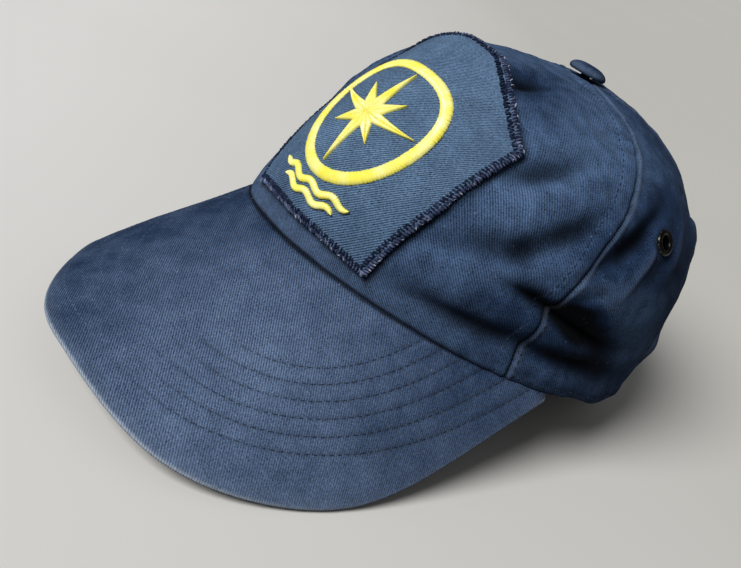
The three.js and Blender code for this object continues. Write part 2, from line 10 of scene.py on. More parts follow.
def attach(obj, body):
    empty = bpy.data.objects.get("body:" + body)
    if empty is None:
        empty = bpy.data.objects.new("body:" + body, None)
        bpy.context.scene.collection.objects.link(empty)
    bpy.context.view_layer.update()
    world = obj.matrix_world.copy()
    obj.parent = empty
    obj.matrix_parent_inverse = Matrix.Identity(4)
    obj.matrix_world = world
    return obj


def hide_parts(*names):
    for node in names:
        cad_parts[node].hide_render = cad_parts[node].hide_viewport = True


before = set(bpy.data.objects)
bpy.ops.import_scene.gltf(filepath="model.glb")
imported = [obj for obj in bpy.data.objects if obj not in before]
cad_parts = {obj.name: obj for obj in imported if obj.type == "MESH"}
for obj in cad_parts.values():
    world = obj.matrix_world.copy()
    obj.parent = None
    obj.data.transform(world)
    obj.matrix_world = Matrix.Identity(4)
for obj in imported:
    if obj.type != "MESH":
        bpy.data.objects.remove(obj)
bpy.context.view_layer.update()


# Crown panels. Five gores of cotton twill, the wide front one with a backing, are joined by felled
# seams and turned in at the hem. The cloth hangs in soft folds from its seams, with shade painted into
# its folds and seams, and is paler where it faces up: sun fade and painted light.
MM = 0.001

# Values that vary over the cloth: a band along a line, a ramp, and lumps left to chance
Band = namedtuple("Band", "amount at width")
Ramp = namedtuple("Ramp", "amount start over")
Lumps = namedtuple("Lumps", "height size offset")

ORIGIN = np.array([0.1, 40.3, 0]) * MM
RIGHT_ANGLE = math.pi / 2
TURN = 2 * math.pi
TINY = 1e-9
ANGLE_STEP = 0.004
LOWEST_UP = 0.0005

RIM_HALF_WIDTH = 84 * MM
RIM_FRONT = 97.6 * MM
RIM_BACK = 93 * MM
RIM_FRONT_POWER = 1.87
RIM_BACK_POWER = 1.9
RIM_LEAVES_VISOR = math.radians(74.5)
RIM_ON_FLOOR_FROM = math.radians(165.5)
VISOR_BEND_RADIUS = 91.4 * MM
VISOR_BEND_LIMIT = 0.98 * VISOR_BEND_RADIUS
VISOR_FALL = math.tan(math.radians(23.85))
VISOR_SEAM_HEIGHT = 50.9 * MM
VISOR_SEAM_GAP = 0.7 * MM

CROWN_HEIGHT = 124.8 * MM
CROWN_TOP_Y = 21.7 * MM
HUMP_AMOUNT = 20.8 * MM
HUMP_NARROWING = 1.5
HUMP_RISE = 3
OUTWARD = {"front": 2.92, "side": 2.48, "back": 2.14}
UPWARD = {"front": 1.91, "side": 2.63, "back": 2.56}
BULGE = {"front": 0.067, "back": 0.04}
BULGE_CHANGE = Ramp(1, math.radians(50), math.radians(60))
TOP_HOLE_RADIUS = 5 * MM
HEM_SAG = 3.8 * MM
HEM_SAG_AT = math.radians(91)
HEM_SAG_SPREAD = math.radians(9)
HEM_SAG_UP = 0.13

# Where the worn crown stands out of its even form: degrees around and spread, shares at rim and above
Swell = namedtuple("Swell", "around spread at_rim above")
SWELLS = [
    Swell(-42, 26, 0.037, -0.197),
    Swell(120, 27, -0.06, 0.115),
    Swell(-120, 27, -0.05, 0.07),
]

# Seams between the panels: degrees around at the rim and at the top
Seam = namedtuple("Seam", "at_rim at_top")
SEAMS = {
    "left_front": Seam(59, 83),
    "left_back": Seam(104, 127),
    "centre_back": Seam(180, 180),
    "right_back": Seam(256, 233),
    "right_front": Seam(-59, -83),
}
SEAM_TURN_ENDS = 1.3
SEAM_LAP = 0.06 * MM

# Folds: the cloth is pushed in along a line between two places (degrees around, angle up). Deepest is
# a share of the way along, and lean is how far the cloth above hangs down over the fold.
Fold = namedtuple("Fold", "around_a up_a around_b up_b depth width deepest lean")
FOLDS = [
    Fold(52, 0.335, 95, 0.095, 10.5, 3.8, 0.46, 3.4),
    Fold(44, 0.325, 64, 0.3, 3.6, 3.4, 0.65, 0.8),
    Fold(56, 0.48, 90, 0.36, -1.2, 6, 0.5, 0),
    Fold(20, 0.125, 68, 0.11, 4.2, 4.2, 0.62, 0.8),
    Fold(52, 0.12, 106, 0.045, 5.6, 3.2, 0.5, 1.4),
    Fold(22, 0.34, 57, 0.49, 3.4, 5.5, 0.82, 0),
    Fold(46, 0.42, 72, 0.76, 4.2, 5, 0.52, 0),
    Fold(31, 0.64, 70, 1.04, 3.6, 5.2, 0.42, 0),
    Fold(10, 1.2, 40, 1.3, 3.8, 8, 0.4, 0),
    Fold(-18, 1.0, 18, 1.0, -2.4, 9, 0.5, 0),
    Fold(63, 0.4, 100, 0.93, 4.4, 4.6, 0.42, 0),
    Fold(108, 0.95, 128, 0.7, 3, 7, 0.5, 0),
    Fold(118, 0.3, 168, 0.24, 3, 9, 0.5, 0),
    Fold(112, 0.8, 116, 0.5, -2.0, 4, 0.25, 0),
    Fold(103, 0.19, 118, 0.15, -2.2, 5, 0.45, 0),
    Fold(272, 0.2, 310, 0.36, 4, 6, 0.4, 1.5),
    Fold(196, 0.26, 246, 0.34, 2.6, 9, 0.5, 0),
]
WRINKLES = [
    Fold(93, 0.82, 75, 0.32, -2.0, 2.2, 0.5, 0),
    Fold(98, 0.78, 85, 0.4, 1.4, 3, 0.5, 0),
    Fold(104, 0.84, 92, 0.4, -1.0, 2.8, 0.5, 0),
    Fold(63, 0.3, 76, 0.42, 0.9, 2.6, 0.3, 0),
    Fold(64, 0.46, 78, 0.5, 0.8, 2.8, 0.3, 0),
    Fold(63, 0.86, 80, 0.78, 0.8, 3.4, 0.4, 0),
    Fold(52, 1.2, 84, 1.05, 0.9, 4, 0.5, 0),
    Fold(92, 0.52, 112, 0.42, 1.0, 3.6, 0.5, 0),
    Fold(130, 0.5, 172, 0.62, 1.2, 5, 0.5, 0),
    Fold(186, 0.55, 228, 0.5, 1.2, 5, 0.5, 0),
    Fold(268, 0.45, 300, 0.6, 1.1, 4, 0.5, 0),
    Fold(284, 0.75, 312, 0.7, 0.9, 4, 0.5, 0),
]
FOLD_AROUND_SCALE = 84
FOLD_UP_SCALE = 78
LEAN_FROM = 0.7
LEAN_WIDTH = 0.75


def smooth(t):
    c = np.clip(t, 0, 1)
    return c * c * (3 - 2 * c)


def lerp(a, b, t):
    return a + (b - a) * t


def signed_power(value, power):
    return np.sign(value) * np.abs(value) ** power


def wrapped(angle):
    return np.arctan2(np.sin(angle), np.cos(angle))


def bell(off):
    return np.exp(-off * off)


# A band fades away on both sides of a line, and a ramp grows from its start to its full amount
def banded(distance, band):
    return band.amount * bell((distance - band.at) / band.width)


def ramped(place, ramp):
    return ramp.amount * smooth((place - ramp.start) / ramp.over)


def bell_around(around, swell):
    return bell(wrapped(around - math.radians(swell.around)) / math.radians(swell.spread))


def visor_bend(x):
    side = np.minimum(np.abs(x), VISOR_BEND_LIMIT)
    return VISOR_BEND_RADIUS - np.sqrt(VISOR_BEND_RADIUS ** 2 - side * side)


def visor_height(x, y):
    return VISOR_SEAM_HEIGHT - visor_bend(x) + VISOR_FALL * (RIM_FRONT + y)


# The rim seen from above: an ellipse whose front and back are drawn a little to a point
def even_rim(around):
    forward = np.cos(around)
    power = np.where(forward > 0, RIM_FRONT_POWER, RIM_BACK_POWER)
    reach = np.where(forward > 0, RIM_FRONT, RIM_BACK)
    exponent = 2 / lerp(2, power, smooth(2 * np.abs(forward)))
    x = RIM_HALF_WIDTH * signed_power(np.sin(around), exponent)
    return x, -reach * signed_power(forward, exponent)


def rim_plan(around):
    x, y = even_rim(around)
    scale = 1 + sum(swell.at_rim * bell_around(around, swell) for swell in SWELLS)
    return x * scale, y * scale


# The rim follows the visor at the front and runs down to the floor at the back
def rim_height(around):
    turn = np.abs(wrapped(around))
    on_visor = visor_height(*rim_plan(around))
    leaves_at = visor_height(*even_rim(RIM_LEAVES_VISOR))
    run = (turn - RIM_LEAVES_VISOR) / (RIM_ON_FLOOR_FROM - RIM_LEAVES_VISOR)
    behind = (leaves_at + VISOR_SEAM_GAP) * (1 - smooth(run))
    return np.where(turn <= RIM_LEAVES_VISOR, on_visor + VISOR_SEAM_GAP, behind)


def by_side(values, around):
    forward = np.cos(around)
    front = np.maximum(forward, 0) ** 2
    back = np.maximum(-forward, 0) ** 2
    return front * values["front"] + back * values["back"] + (1 - front - back) * values["side"]


# The crown's even form, without folds
def crown_form(around, up):
    rim_x, rim_y = rim_plan(around)
    bulge = lerp(BULGE["front"], BULGE["back"], ramped(np.abs(wrapped(around)), BULGE_CHANGE))
    bulge = bulge + sum(swell.above * bell_around(around, swell) for swell in SWELLS)
    inward = np.maximum(np.cos(up), TINY) ** (2 / by_side(OUTWARD, around))
    inward = inward * (1 + bulge * np.sin(2 * up))
    rise = np.maximum(np.sin(up), TINY) ** (2 / by_side(UPWARD, around))
    hump = HUMP_AMOUNT * np.maximum(np.cos(around), 0) ** HUMP_NARROWING
    hump = hump * np.sin(up) ** HUMP_RISE * np.cos(up)
    sag = HEM_SAG * bell(wrapped(around - HEM_SAG_AT) / HEM_SAG_SPREAD) * bell(up / HEM_SAG_UP)
    height = lerp(rim_height(around), CROWN_HEIGHT, rise) + hump - sag
    return np.stack([rim_x * inward, lerp(CROWN_TOP_Y, rim_y, inward), height], axis=-1) + ORIGIN


def unit(vectors):
    return vectors / np.maximum(np.linalg.norm(vectors, axis=-1, keepdims=True), TINY)


# Directions on the crown's form: outward from it, and up along it
def crown_directions(around, up):
    low = np.maximum(up - ANGLE_STEP, LOWEST_UP)
    ring = crown_form(around + ANGLE_STEP, up) - crown_form(around - ANGLE_STEP, up)
    rise = crown_form(around, low + 2 * ANGLE_STEP) - crown_form(around, low)
    return unit(np.cross(ring, rise)), unit(rise)


# How far folds push the cloth in, and how far it hangs down over them
def fold_depth(folds, around, up):
    depth = np.zeros_like(up)
    hang = np.zeros_like(up)
    for fold in folds:
        run_around = math.radians(fold.around_b - fold.around_a) * FOLD_AROUND_SCALE
        run_up = (fold.up_b - fold.up_a) * FOLD_UP_SCALE
        across = wrapped(around - math.radians(fold.around_a)) * FOLD_AROUND_SCALE
        rise = (up - fold.up_a) * FOLD_UP_SCALE
        length = math.hypot(run_around, run_up)
        along = (across * run_around + rise * run_up) / length ** 2
        aside = (across * run_up - rise * run_around) / length / fold.width
        before = smooth(along / fold.deepest)
        after = smooth((1 - along) / (1 - fold.deepest))
        taper = np.where(along < fold.deepest, before, after)
        depth += fold.depth * MM * taper * bell(aside)
        hang += fold.lean * MM * taper * bell((aside + LEAN_FROM) / LEAN_WIDTH)
    return depth, hang


def seam_at(name, up):
    seam = SEAMS[name]
    return np.radians(lerp(seam.at_rim, seam.at_top, smooth(up / SEAM_TURN_ENDS)))


# The angle up at which the cloth ends, at a small round hole under the button
def top_up(around):
    rim_x, rim_y = rim_plan(around)
    reach = np.hypot(rim_x, rim_y - CROWN_TOP_Y)
    return np.arccos((TOP_HOLE_RADIUS / reach) ** (by_side(OUTWARD, around) / 2))


# Smooth chance relief at each point. Its offset sets it apart from other relief of the same size.
def relief(points, lumps):
    shifted = points.reshape(-1, 3) / lumps.size + lumps.offset
    values = [noise.noise(Vector(place)) for place in shifted]
    return lumps.height * np.array(values).reshape(points.shape[:-1])


def running_length(points, axis):
    steps = np.linalg.norm(np.diff(points, axis=axis), axis=-1)
    shape = list(points.shape[:-1])
    shape[axis] = 1
    return np.concatenate([np.zeros(shape), np.cumsum(steps, axis=axis)], axis=axis)


# A mesh object of points and faces with named values stored on its points
def mesh_piece(name, points, faces, values=None, sharp_from=60):
    mesh = bpy.data.meshes.new(name)
    mesh.from_pydata(np.reshape(points, (-1, 3)).tolist(), [], faces)
    for label, numbers in (values or {}).items():
        numbers = np.asarray(numbers, dtype=np.float32)
        kind, field = ("FLOAT_VECTOR", "vector") if numbers.ndim == 2 else ("FLOAT", "value")
        mesh.attributes.new(label, kind, "POINT").data.foreach_set(field, numbers.ravel())
    mesh.shade_smooth()
    mesh.set_sharp_from_angle(angle=math.radians(sharp_from))
    piece = bpy.data.objects.new(name, mesh)
    bpy.context.scene.collection.objects.link(piece)
    return piece


# Faces of a closed wall between an outer and an inner grid, with the cells that kept leaves out cut
# right through
def wall_faces(rows, columns, kept=None):
    if kept is None:
        kept = np.ones((rows, columns), dtype=bool)
    stride = columns + 1
    layer = stride * (rows + 1)
    padded = np.pad(kept, 1)
    faces = []
    for row, column in zip(*np.nonzero(kept)):
        a = int(row) * stride + int(column)
        b, c, d = a + 1, a + 1 + stride, a + stride
        faces.append((a, b, c, d))
        faces.append((layer + a, layer + d, layer + c, layer + b))
        sides = (((0, 1), a, b), ((1, 2), b, c), ((2, 1), c, d), ((1, 0), d, a))
        for (down, over), start, end in sides:
            if not padded[row + down, column + over]:
                faces.append((start, layer + start, layer + end, end))
    return faces


# A closed wall between an outer and an inner grid of points, with each point's place in the cloth and,
# by name, the values of the outer and the inner face
def wall_piece(name, outer, inner, cloth, values, kept=None):
    grid = outer.shape[:2]
    stored = {"cloth": np.concatenate([cloth.reshape(-1, 3)] * 2)}
    for label, faces in values.items():
        stored[label] = np.concatenate([np.broadcast_to(face, grid).ravel() for face in faces])
    points = np.concatenate([outer.reshape(-1, 3), inner.reshape(-1, 3)])
    return mesh_piece(name, points, wall_faces(grid[0] - 1, grid[1] - 1, kept), stored)


# One output of a node tree. Operators on it add Math nodes, and add() any other node.
class Wire:
    def __init__(self, tree, socket=None):
        self.tree = tree
        self.socket = socket

    def add(self, kind, settings=None, sockets=None, output=0):
        node = self.tree.nodes.new(kind)
        for name, value in (settings or {}).items():
            setattr(node, name, value)
        for name, value in (sockets or {}).items():
            if isinstance(value, Wire):
                self.tree.links.new(value.socket, node.inputs[name])
            else:
                node.inputs[name].default_value = value
        return Wire(self.tree, node.outputs[output])

    def math(self, operation, *values):
        return self.add("ShaderNodeMath", {"operation": operation}, dict(enumerate(values)))

    def clamped(self):
        return self.add("ShaderNodeMath", {"operation": "ADD", "use_clamp": True}, {0: self, 1: 0.0})

    def blend(self, factor, colour_a, colour_b, way="MIX"):
        settings = {"data_type": "RGBA", "blend_type": way}
        return self.add("ShaderNodeMix", settings, {0: factor, 6: colour_a, 7: colour_b}, 2)

    def shaded(self, colour, light):
        grey = self.add("ShaderNodeCombineColor", None, {0: light, 1: light, 2: light})
        return self.blend(1.0, colour, grey, "MULTIPLY")

    def place(self):
        return self.add("ShaderNodeTexCoord", None, None, "Object")

    def lumps(self, place, size, detail=2.0):
        sockets = {"Vector": place, "Scale": 1 / size, "Detail": detail}
        return self.add("ShaderNodeTexNoise", None, sockets)

    # Lumps about zero
    def uneven(self, place, size, detail=2.0):
        return self.lumps(place, size, detail) - 0.5

    def stored(self, name, output="Fac"):
        return self.add("ShaderNodeAttribute", {"attribute_name": name}, None, output)

    def __add__(self, other):
        return self.math("ADD", self, other)

    def __sub__(self, other):
        return self.math("SUBTRACT", self, other)

    def __rsub__(self, other):
        return self.math("SUBTRACT", other, self)

    def __mul__(self, other):
        return self.math("MULTIPLY", self, other)

    __radd__ = __add__
    __rmul__ = __mul__


def new_finish(name):
    finish = bpy.data.materials.new(name)
    finish.use_nodes = True
    return finish, Wire(finish.node_tree), finish.node_tree.nodes["Principled BSDF"]


def feed(wire, shader, name):
    wire.tree.links.new(wire.socket, shader.inputs[name])


def feed_relief(height, shader, strength, depth):
    sockets = {"Height": height, "Strength": strength, "Distance": depth}
    feed(height.add("ShaderNodeBump", None, sockets), shader, "Normal")


def set_constants(shader, values):
    for name, value in values.items():
        shader.inputs[name].default_value = value


# Twill: slanting wales that wander a little, from 0 in the furrows to 1
WALE_WANDER = 0.9
WALE_WANDER_SIZE = 22


def twill_weave(root, cloth, pitch, slant):
    split = root.add("ShaderNodeSeparateXYZ", None, {0: cloth})
    across = split * math.sin(slant) - Wire(root.tree, split.socket.node.outputs[1]) * math.cos(slant)
    wander = root.lumps(cloth, WALE_WANDER_SIZE * pitch) * WALE_WANDER
    return root.math("SINE", (across * (1 / pitch) + wander) * TURN) * 0.5 + 0.5


# Worn twill: fade lightens the dye, as sun fade and painted light, painted shade darkens it, wear rubs
# the cloth pale and wales is how clearly the weave shows. Clouds, mottle, slubs and grain are lumps of
# ever smaller size.
CLOUD_SIZE = 22 * MM
CLOUD_FADE = 0.7
MOTTLE_SIZE = 6 * MM
MOTTLE_FADE = 0.45
SLUB_SIZE = 1.3 * MM
SLUB_FADE = 0.25
SLUB_LIGHT = 0.5
SLUB_RELIEF = 0.5
GRAIN_SIZE = 0.6 * MM
GRAIN_LIGHT = 1.9
PAINTED_SHADE_DARK = 0.98
SPECK_SIZE = 1.7 * MM
SPECK_FROM = 0.77
SPECK_PALE = 0.2
RUB_BY_WEAVE = 0.6
RUB_EVEN = 0.85
TWILL_ROUGHNESS = 0.9
TWILL_GLOSS = 0.14
TWILL_RELIEF = 0.16 * MM
TWILL_RELIEF_STRENGTH = 0.8
TWILL_CONSTANTS = {
    "Specular IOR Level": 0.05, "Sheen Weight": 0.015, "Sheen Roughness": 0.45,
    "Sheen Tint": (0.62, 0.72, 0.9, 1),
}


def worn_shaded_twill(name, dyed, pale_end, rubbed, pitch, slant, contrast, mottled):
    finish, root, shader = new_finish(name)
    cloth = root.stored("cloth", "Vector")
    place = root.place()
    weave = (twill_weave(root, cloth, pitch, slant) - 0.5) * root.stored("wales")
    clouds = root.uneven(place, CLOUD_SIZE, 3.0)
    mottle = root.uneven(place, MOTTLE_SIZE)
    slubs = root.uneven(cloth, SLUB_SIZE)
    grain = root.uneven(cloth, GRAIN_SIZE, 1.0)
    fade = root.stored("fade") + clouds * CLOUD_FADE + mottle * MOTTLE_FADE + slubs * SLUB_FADE
    light = weave * contrast + slubs * SLUB_LIGHT + grain * GRAIN_LIGHT + mottle * mottled + 1
    # Painted shade darkens the cloth's own tone
    tone_and_painted_shade = light * (1 - root.stored("crease") * PAINTED_SHADE_DARK)
    colour = root.shaded(root.blend(fade.clamped(), dyed, pale_end), tone_and_painted_shade)
    specks = root.math("GREATER_THAN", root.lumps(place, SPECK_SIZE, 1.0), SPECK_FROM) * SPECK_PALE
    rub = root.stored("wear") * (weave * RUB_BY_WEAVE + slubs + RUB_EVEN) + specks
    feed(root.blend(rub.clamped(), colour, rubbed), shader, "Base Color")
    feed(TWILL_ROUGHNESS - weave * TWILL_GLOSS, shader, "Roughness")
    set_constants(shader, TWILL_CONSTANTS)
    feed_relief(weave + slubs * SLUB_RELIEF, shader, TWILL_RELIEF_STRENGTH, TWILL_RELIEF)
    return finish


NAVY_DYED = (0.015, 0.031, 0.07, 1)
NAVY_PALE = (0.058, 0.1, 0.185, 1)
VISOR_NAVY_PALE = (0.092, 0.135, 0.225, 1)
NAVY_RUBBED = (0.36, 0.42, 0.5, 1)
CROWN_TWILL = worn_shaded_twill(
    "crown_twill", NAVY_DYED, NAVY_PALE, NAVY_RUBBED,
    pitch=0.8 * MM, slant=math.radians(127), contrast=1.05, mottled=1.0,
)

# The panels: the two seams at their sides, their thickness in millimetres, whether their edges are
# felled over their neighbours', and the piece that they are sewn to
Panel = namedtuple("Panel", "name first last columns thickness felled sewn_to")
PANELS = [
    Panel("crown_front", "right_front", "left_front", 236, 1.9, True, "visor"),
    Panel("crown_side_left", "left_front", "left_back", 84, 1.4, False, "crown_front"),
    Panel("crown_back_left", "left_back", "centre_back", 120, 1.4, False, "crown_side_left"),
    Panel("crown_back_right", "centre_back", "right_back", 120, 1.4, False, "crown_side_right"),
    Panel("crown_side_right", "right_back", "right_front", 84, 1.4, False, "crown_front"),
]
PANEL_ROWS = 170
ROW_CROWDING = 1.25

# Felled edge, stitch rows and the turned hem, as heights over the cloth and distances from the seam
FELLED_HEIGHT = 0.45 * MM
FELLED_BEYOND_ROW = 0.9 * MM
FELLED_STEP = 1.2 * MM
FELLED_ROW = 5.2 * MM
FELLED_ROW_WIDENS = Ramp(2.5 * MM, 0, 0.9)
PLAIN_ROW = 2.2 * MM
ROW_GROOVE = Band(0.28 * MM, 0, 0.75 * MM)
SEAM_DIP = Band(0.95 * MM, 0, 0.8 * MM)
RIDGE = Band(0.3 * MM, 1.9 * MM, 1.1 * MM)
HEM_TURN = Band(0.55 * MM, 0, 0.9 * MM)
HEM_GROOVE = Band(0.28 * MM, 2.3 * MM, 0.75 * MM)
HEM_STARTS_OVER = math.radians(4)
PUCKER = Lumps(0.5 * MM, 5 * MM, 3.1)
PUCKER_REACH = 7 * MM
SLACK = Lumps(0.5 * MM, 17 * MM, 0)
RUMPLE = Lumps(0.16 * MM, 6 * MM, 7.3)
EYELET_AROUND = math.radians(89.5)
EYELET_UP = 0.645
EYELET_HOLE = 3.9 * MM
EYELET_FLAT = 4.5 * MM

# Fading by the sun with painted light and shade, rubbed places, painted shade in folds and seams, and
# how far the weave shows
UPWARD_FADE_AND_LIGHT = Ramp(0.85, -0.25, 1.15)
BACK_SHADE = Ramp(0.75, math.radians(70), math.radians(40))
INSIDE_FADE = 0.25
RIDGE_WEAR = Band(0.1, RIDGE.at, RIDGE.width)
HEM_RUB = Band(0.08, 0, 1 * MM)
FOLD_RUB = 0.12
FOLD_RUB_DEPTH = 4 * MM
BROW_RUB = 0.07
BROW_RUB_AROUND = math.radians(38)
BROW_RUB_UP = 0.17
FOLD_SHADE_FROM = 0.6 * MM
FOLD_SHADE_OVER = 2.5 * MM
SHADE_CREASE = 0.5
SHADE_LIMIT = 2
SEAM_SHADE = Band(0.8, 0, 0.6 * MM)
VISOR_SEAM_SHADE = Band(0.95, 0, 0.55 * MM)
INSIDE_SHADE = 0.3
WALES_AROUND = math.radians(62)
WALES_END = Ramp(1, 0.6, 0.5)
WALES_LEAST = 0.4

# Painted light, as more fade, where the amount is above zero, and painted shade where it is below zero:
# places on the crown by degrees around and spread, angle up and spread, and amount
PaintedLightSpot = namedtuple("PaintedLightSpot", "around around_spread up up_spread amount")
PAINTED_LIGHT_SPOTS = [
    PaintedLightSpot(44, 15, 0.62, 0.3, 0.35),
    PaintedLightSpot(4, 52, 0.04, 0.32, 0.8),
    PaintedLightSpot(22, 22, 1.24, 0.2, -1.1),
    PaintedLightSpot(88, 22, 0.6, 0.2, -0.85),
    PaintedLightSpot(57, 8, 0.2, 0.07, -0.5),
    PaintedLightSpot(90, 13, 0.22, 0.16, 0.75),
    PaintedLightSpot(33, 7, 0.62, 0.16, -0.4),
    PaintedLightSpot(58, 16, 1.15, 0.2, 0.25),
    PaintedLightSpot(66, 4, 0.31, 0.03, -2.0),
    PaintedLightSpot(70.5, 4.5, 0.295, 0.04, -2.6),
    PaintedLightSpot(75, 3.6, 0.24, 0.03, -2.4),
    PaintedLightSpot(72, 5, 0.185, 0.03, -1.8),
    PaintedLightSpot(104, 11, 0.16, 0.1, 0.5),
    PaintedLightSpot(82, 11, 0.36, 0.06, 0.5),
    PaintedLightSpot(69, 7, 0.55, 0.16, -0.3),
    PaintedLightSpot(90, 12, 0.82, 0.1, -0.6),
    PaintedLightSpot(48, 5, 0.24, 0.04, -0.35),
    PaintedLightSpot(67, 5, 0.11, 0.04, -0.7),
    PaintedLightSpot(40, 9, 1.02, 0.12, -0.3),
]


# The stitched row of a felled seam keeps this far from the seam
def felled_row(up):
    return FELLED_ROW + ramped(up, FELLED_ROW_WIDENS)


# Angles around of a panel's two edges, with the last after the first
def panel_edges(panel, up):
    first = seam_at(panel.first, up)
    last = seam_at(panel.last, up)
    return first, np.where(last < first, last + TURN, last)


# Relief of the cloth itself: slack, puckers, the felled band or the ridge, grooves and the turned hem
def cloth_detail(panel, form, up, from_seam, rise, over_visor):
    detail = relief(form, SLACK) + relief(form, RUMPLE)
    detail = detail + bell(from_seam / PUCKER_REACH) * relief(form, PUCKER)
    if panel.felled:
        from_row = from_seam - felled_row(up)
        detail = detail + FELLED_HEIGHT * smooth((FELLED_BEYOND_ROW - from_row) / FELLED_STEP)
        detail = detail - banded(from_row, ROW_GROOVE)
    else:
        detail = detail + banded(from_seam, RIDGE)
    detail = detail - banded(from_seam, SEAM_DIP) - banded(rise, HEM_TURN)
    return detail - (1 - over_visor) * banded(rise, HEM_GROOVE)


# How the cloth has faded and worn, with painted light and painted shade, for the outer and the inner
# face
def crown_values(panel, around, up, outward, from_seam, rise, over_visor, pushed_in):
    turn = np.abs(wrapped(around))
    # Paler where the cloth faces up and darker towards the back: sun fade with painted light and
    # painted shade
    fade = ramped(outward[..., 2], UPWARD_FADE_AND_LIGHT) * (1 - ramped(turn, BACK_SHADE))
    for spot in PAINTED_LIGHT_SPOTS:
        off_around = wrapped(around - math.radians(spot.around)) / math.radians(spot.around_spread)
        fade = fade + spot.amount * bell(off_around) * bell((up - spot.up) / spot.up_spread)
    wales = lerp(WALES_LEAST, 1, bell(turn / WALES_AROUND) * (1 - ramped(up, WALES_END)))
    wear = banded(rise, HEM_RUB) * (1 - over_visor)
    wear = wear + FOLD_RUB * np.maximum(-pushed_in, 0) / FOLD_RUB_DEPTH
    wear = wear + BROW_RUB * bell(turn / BROW_RUB_AROUND) * bell(up / BROW_RUB_UP)
    if not panel.felled:
        wear = wear + banded(from_seam, RIDGE_WEAR)
    # Painted shade in deep folds, under the spots of painted shade, along the seams, along the hem over
    # the visor and on the inner face
    crease = 1 - bell(np.maximum(pushed_in - FOLD_SHADE_FROM, 0) / FOLD_SHADE_OVER)
    crease = crease + SHADE_CREASE * np.clip(-fade, 0, SHADE_LIMIT)
    crease = crease + banded(from_seam, SEAM_SHADE) + over_visor * banded(rise, VISOR_SEAM_SHADE)
    return {
        "fade": (fade, INSIDE_FADE),
        "wear": (np.clip(wear, 0, 1), 0),
        "wales": (wales, wales),
        "crease": (np.clip(crease, 0, 1), INSIDE_SHADE),
    }


Surface = namedtuple("Surface", "outer outward up width rise")
surfaces = {}


def crown_panel(panel):
    column = np.linspace(0, 1, panel.columns + 1)
    row = np.linspace(0, 1, PANEL_ROWS + 1)[:, None]
    up = top_up(lerp(*panel_edges(panel, RIGHT_ANGLE), column)) * row ** ROW_CROWDING
    around = lerp(*panel_edges(panel, up), column)
    share = -SEAM_LAP / 2 / running_length(crown_form(around, up), 1)[:, -1:]
    around = lerp(around[:, :1], around[:, -1:], lerp(share, 1 - share, column))
    form = crown_form(around, up)
    outward, upward = crown_directions(around, up)
    width = running_length(form, 1)
    rise = running_length(form, 0)
    from_seam = np.minimum(width, width[:, -1:] - width)
    over_visor = smooth((RIM_LEAVES_VISOR - np.abs(wrapped(around))) / HEM_STARTS_OVER)

    folds, hang = fold_depth(FOLDS, around, up)
    wrinkles, _ = fold_depth(WRINKLES, around, up)
    detail = cloth_detail(panel, form, up, from_seam, rise, over_visor)
    cells = (form[1:, 1:] + form[:-1, :-1]) / 2
    kept = np.ones(cells.shape[:2], dtype=bool)
    for side in (-1, 1):
        place = np.array([side * EYELET_AROUND]), np.array([EYELET_UP])
        middle = crown_form(*place)
        gap = np.linalg.norm(form - middle, axis=-1)
        beside = smooth((gap - EYELET_FLAT) / EYELET_FLAT)
        depth_there, hang_there = fold_depth(FOLDS, *place)
        folds = lerp(depth_there, folds, beside)
        hang = lerp(hang_there, hang, beside)
        detail = detail * beside
        wrinkles = wrinkles * beside
        kept &= np.linalg.norm(cells - middle, axis=-1) > EYELET_HOLE

    lift = (detail - folds - wrinkles)[..., None]
    outer = form + outward * lift - upward * hang[..., None]
    inner = form - outward * (folds[..., None] + panel.thickness * MM) - upward * hang[..., None]
    inner[0, :, 2] = np.maximum(outer[0, :, 2], inner[0, :, 2])
    outer[..., 2] = np.maximum(outer[..., 2], 0)
    surfaces[panel.name] = Surface(outer, outward, up, width, rise)

    level = running_length(form * [1, 1, 0], 1)
    level = level - level[:, panel.columns // 2][:, None]
    cloth = np.stack([level, rise + form[:1, :, 2], np.zeros_like(rise)], axis=-1)
    values = crown_values(panel, around, up, outward, from_seam, rise, over_visor, folds + wrinkles)
    piece = wall_piece(panel.name + "_cloth", outer, inner, cloth, values, kept)
    piece.data.materials.append(CROWN_TWILL)
    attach(piece, "root")
    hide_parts(panel.name)
    return piece


crown_pieces = {panel.name: crown_panel(panel) for panel in PANELS}


# Crown stitching. Rows of navy thread hold the felled seams down and the hem up, each stitch a short
# arch that sinks into its own needle holes.
THREAD_SIDES = 5


# Faces between rings of corners, each joined to the next: a closed loop of rings, or a run of them
# with a cap at both ends
def ring_faces(rings, sides, closed=False):
    faces = []
    for ring in range(rings if closed else rings - 1):
        here = ring * sides
        there = (ring + 1) % rings * sides
        for corner in range(sides):
            after = (corner + 1) % sides
            faces.append((here + corner, here + after, there + after, there + corner))
    if not closed:
        last = (rings - 1) * sides
        faces += [tuple(range(sides - 1, -1, -1)), tuple(range(last, last + sides))]
    return faces


# A short thread by a profile of shares and heights in millimetres. The shares run along X and Y by
# the given reach, and the thread is thinner at its two ends.
def thread_piece(name, profile, reach, radius, ends):
    share, arch = np.array(profile).T
    line = np.stack([share * reach[0], share * reach[1], arch * MM], axis=-1)
    along = unit(np.gradient(line, axis=0))
    side = unit(np.cross([0, 0, 1.0], along) + np.array([0, TINY, 0]))
    over = np.cross(along, side)
    angles = np.arange(THREAD_SIDES) / THREAD_SIDES * TURN
    size = np.full(len(line), radius)
    size[[0, -1]] *= ends
    circle = side[:, None] * np.cos(angles)[:, None] + over[:, None] * np.sin(angles)[:, None]
    points = line[:, None] + circle * size[:, None, None]
    return mesh_piece(name, points, ring_faces(len(line), THREAD_SIDES))


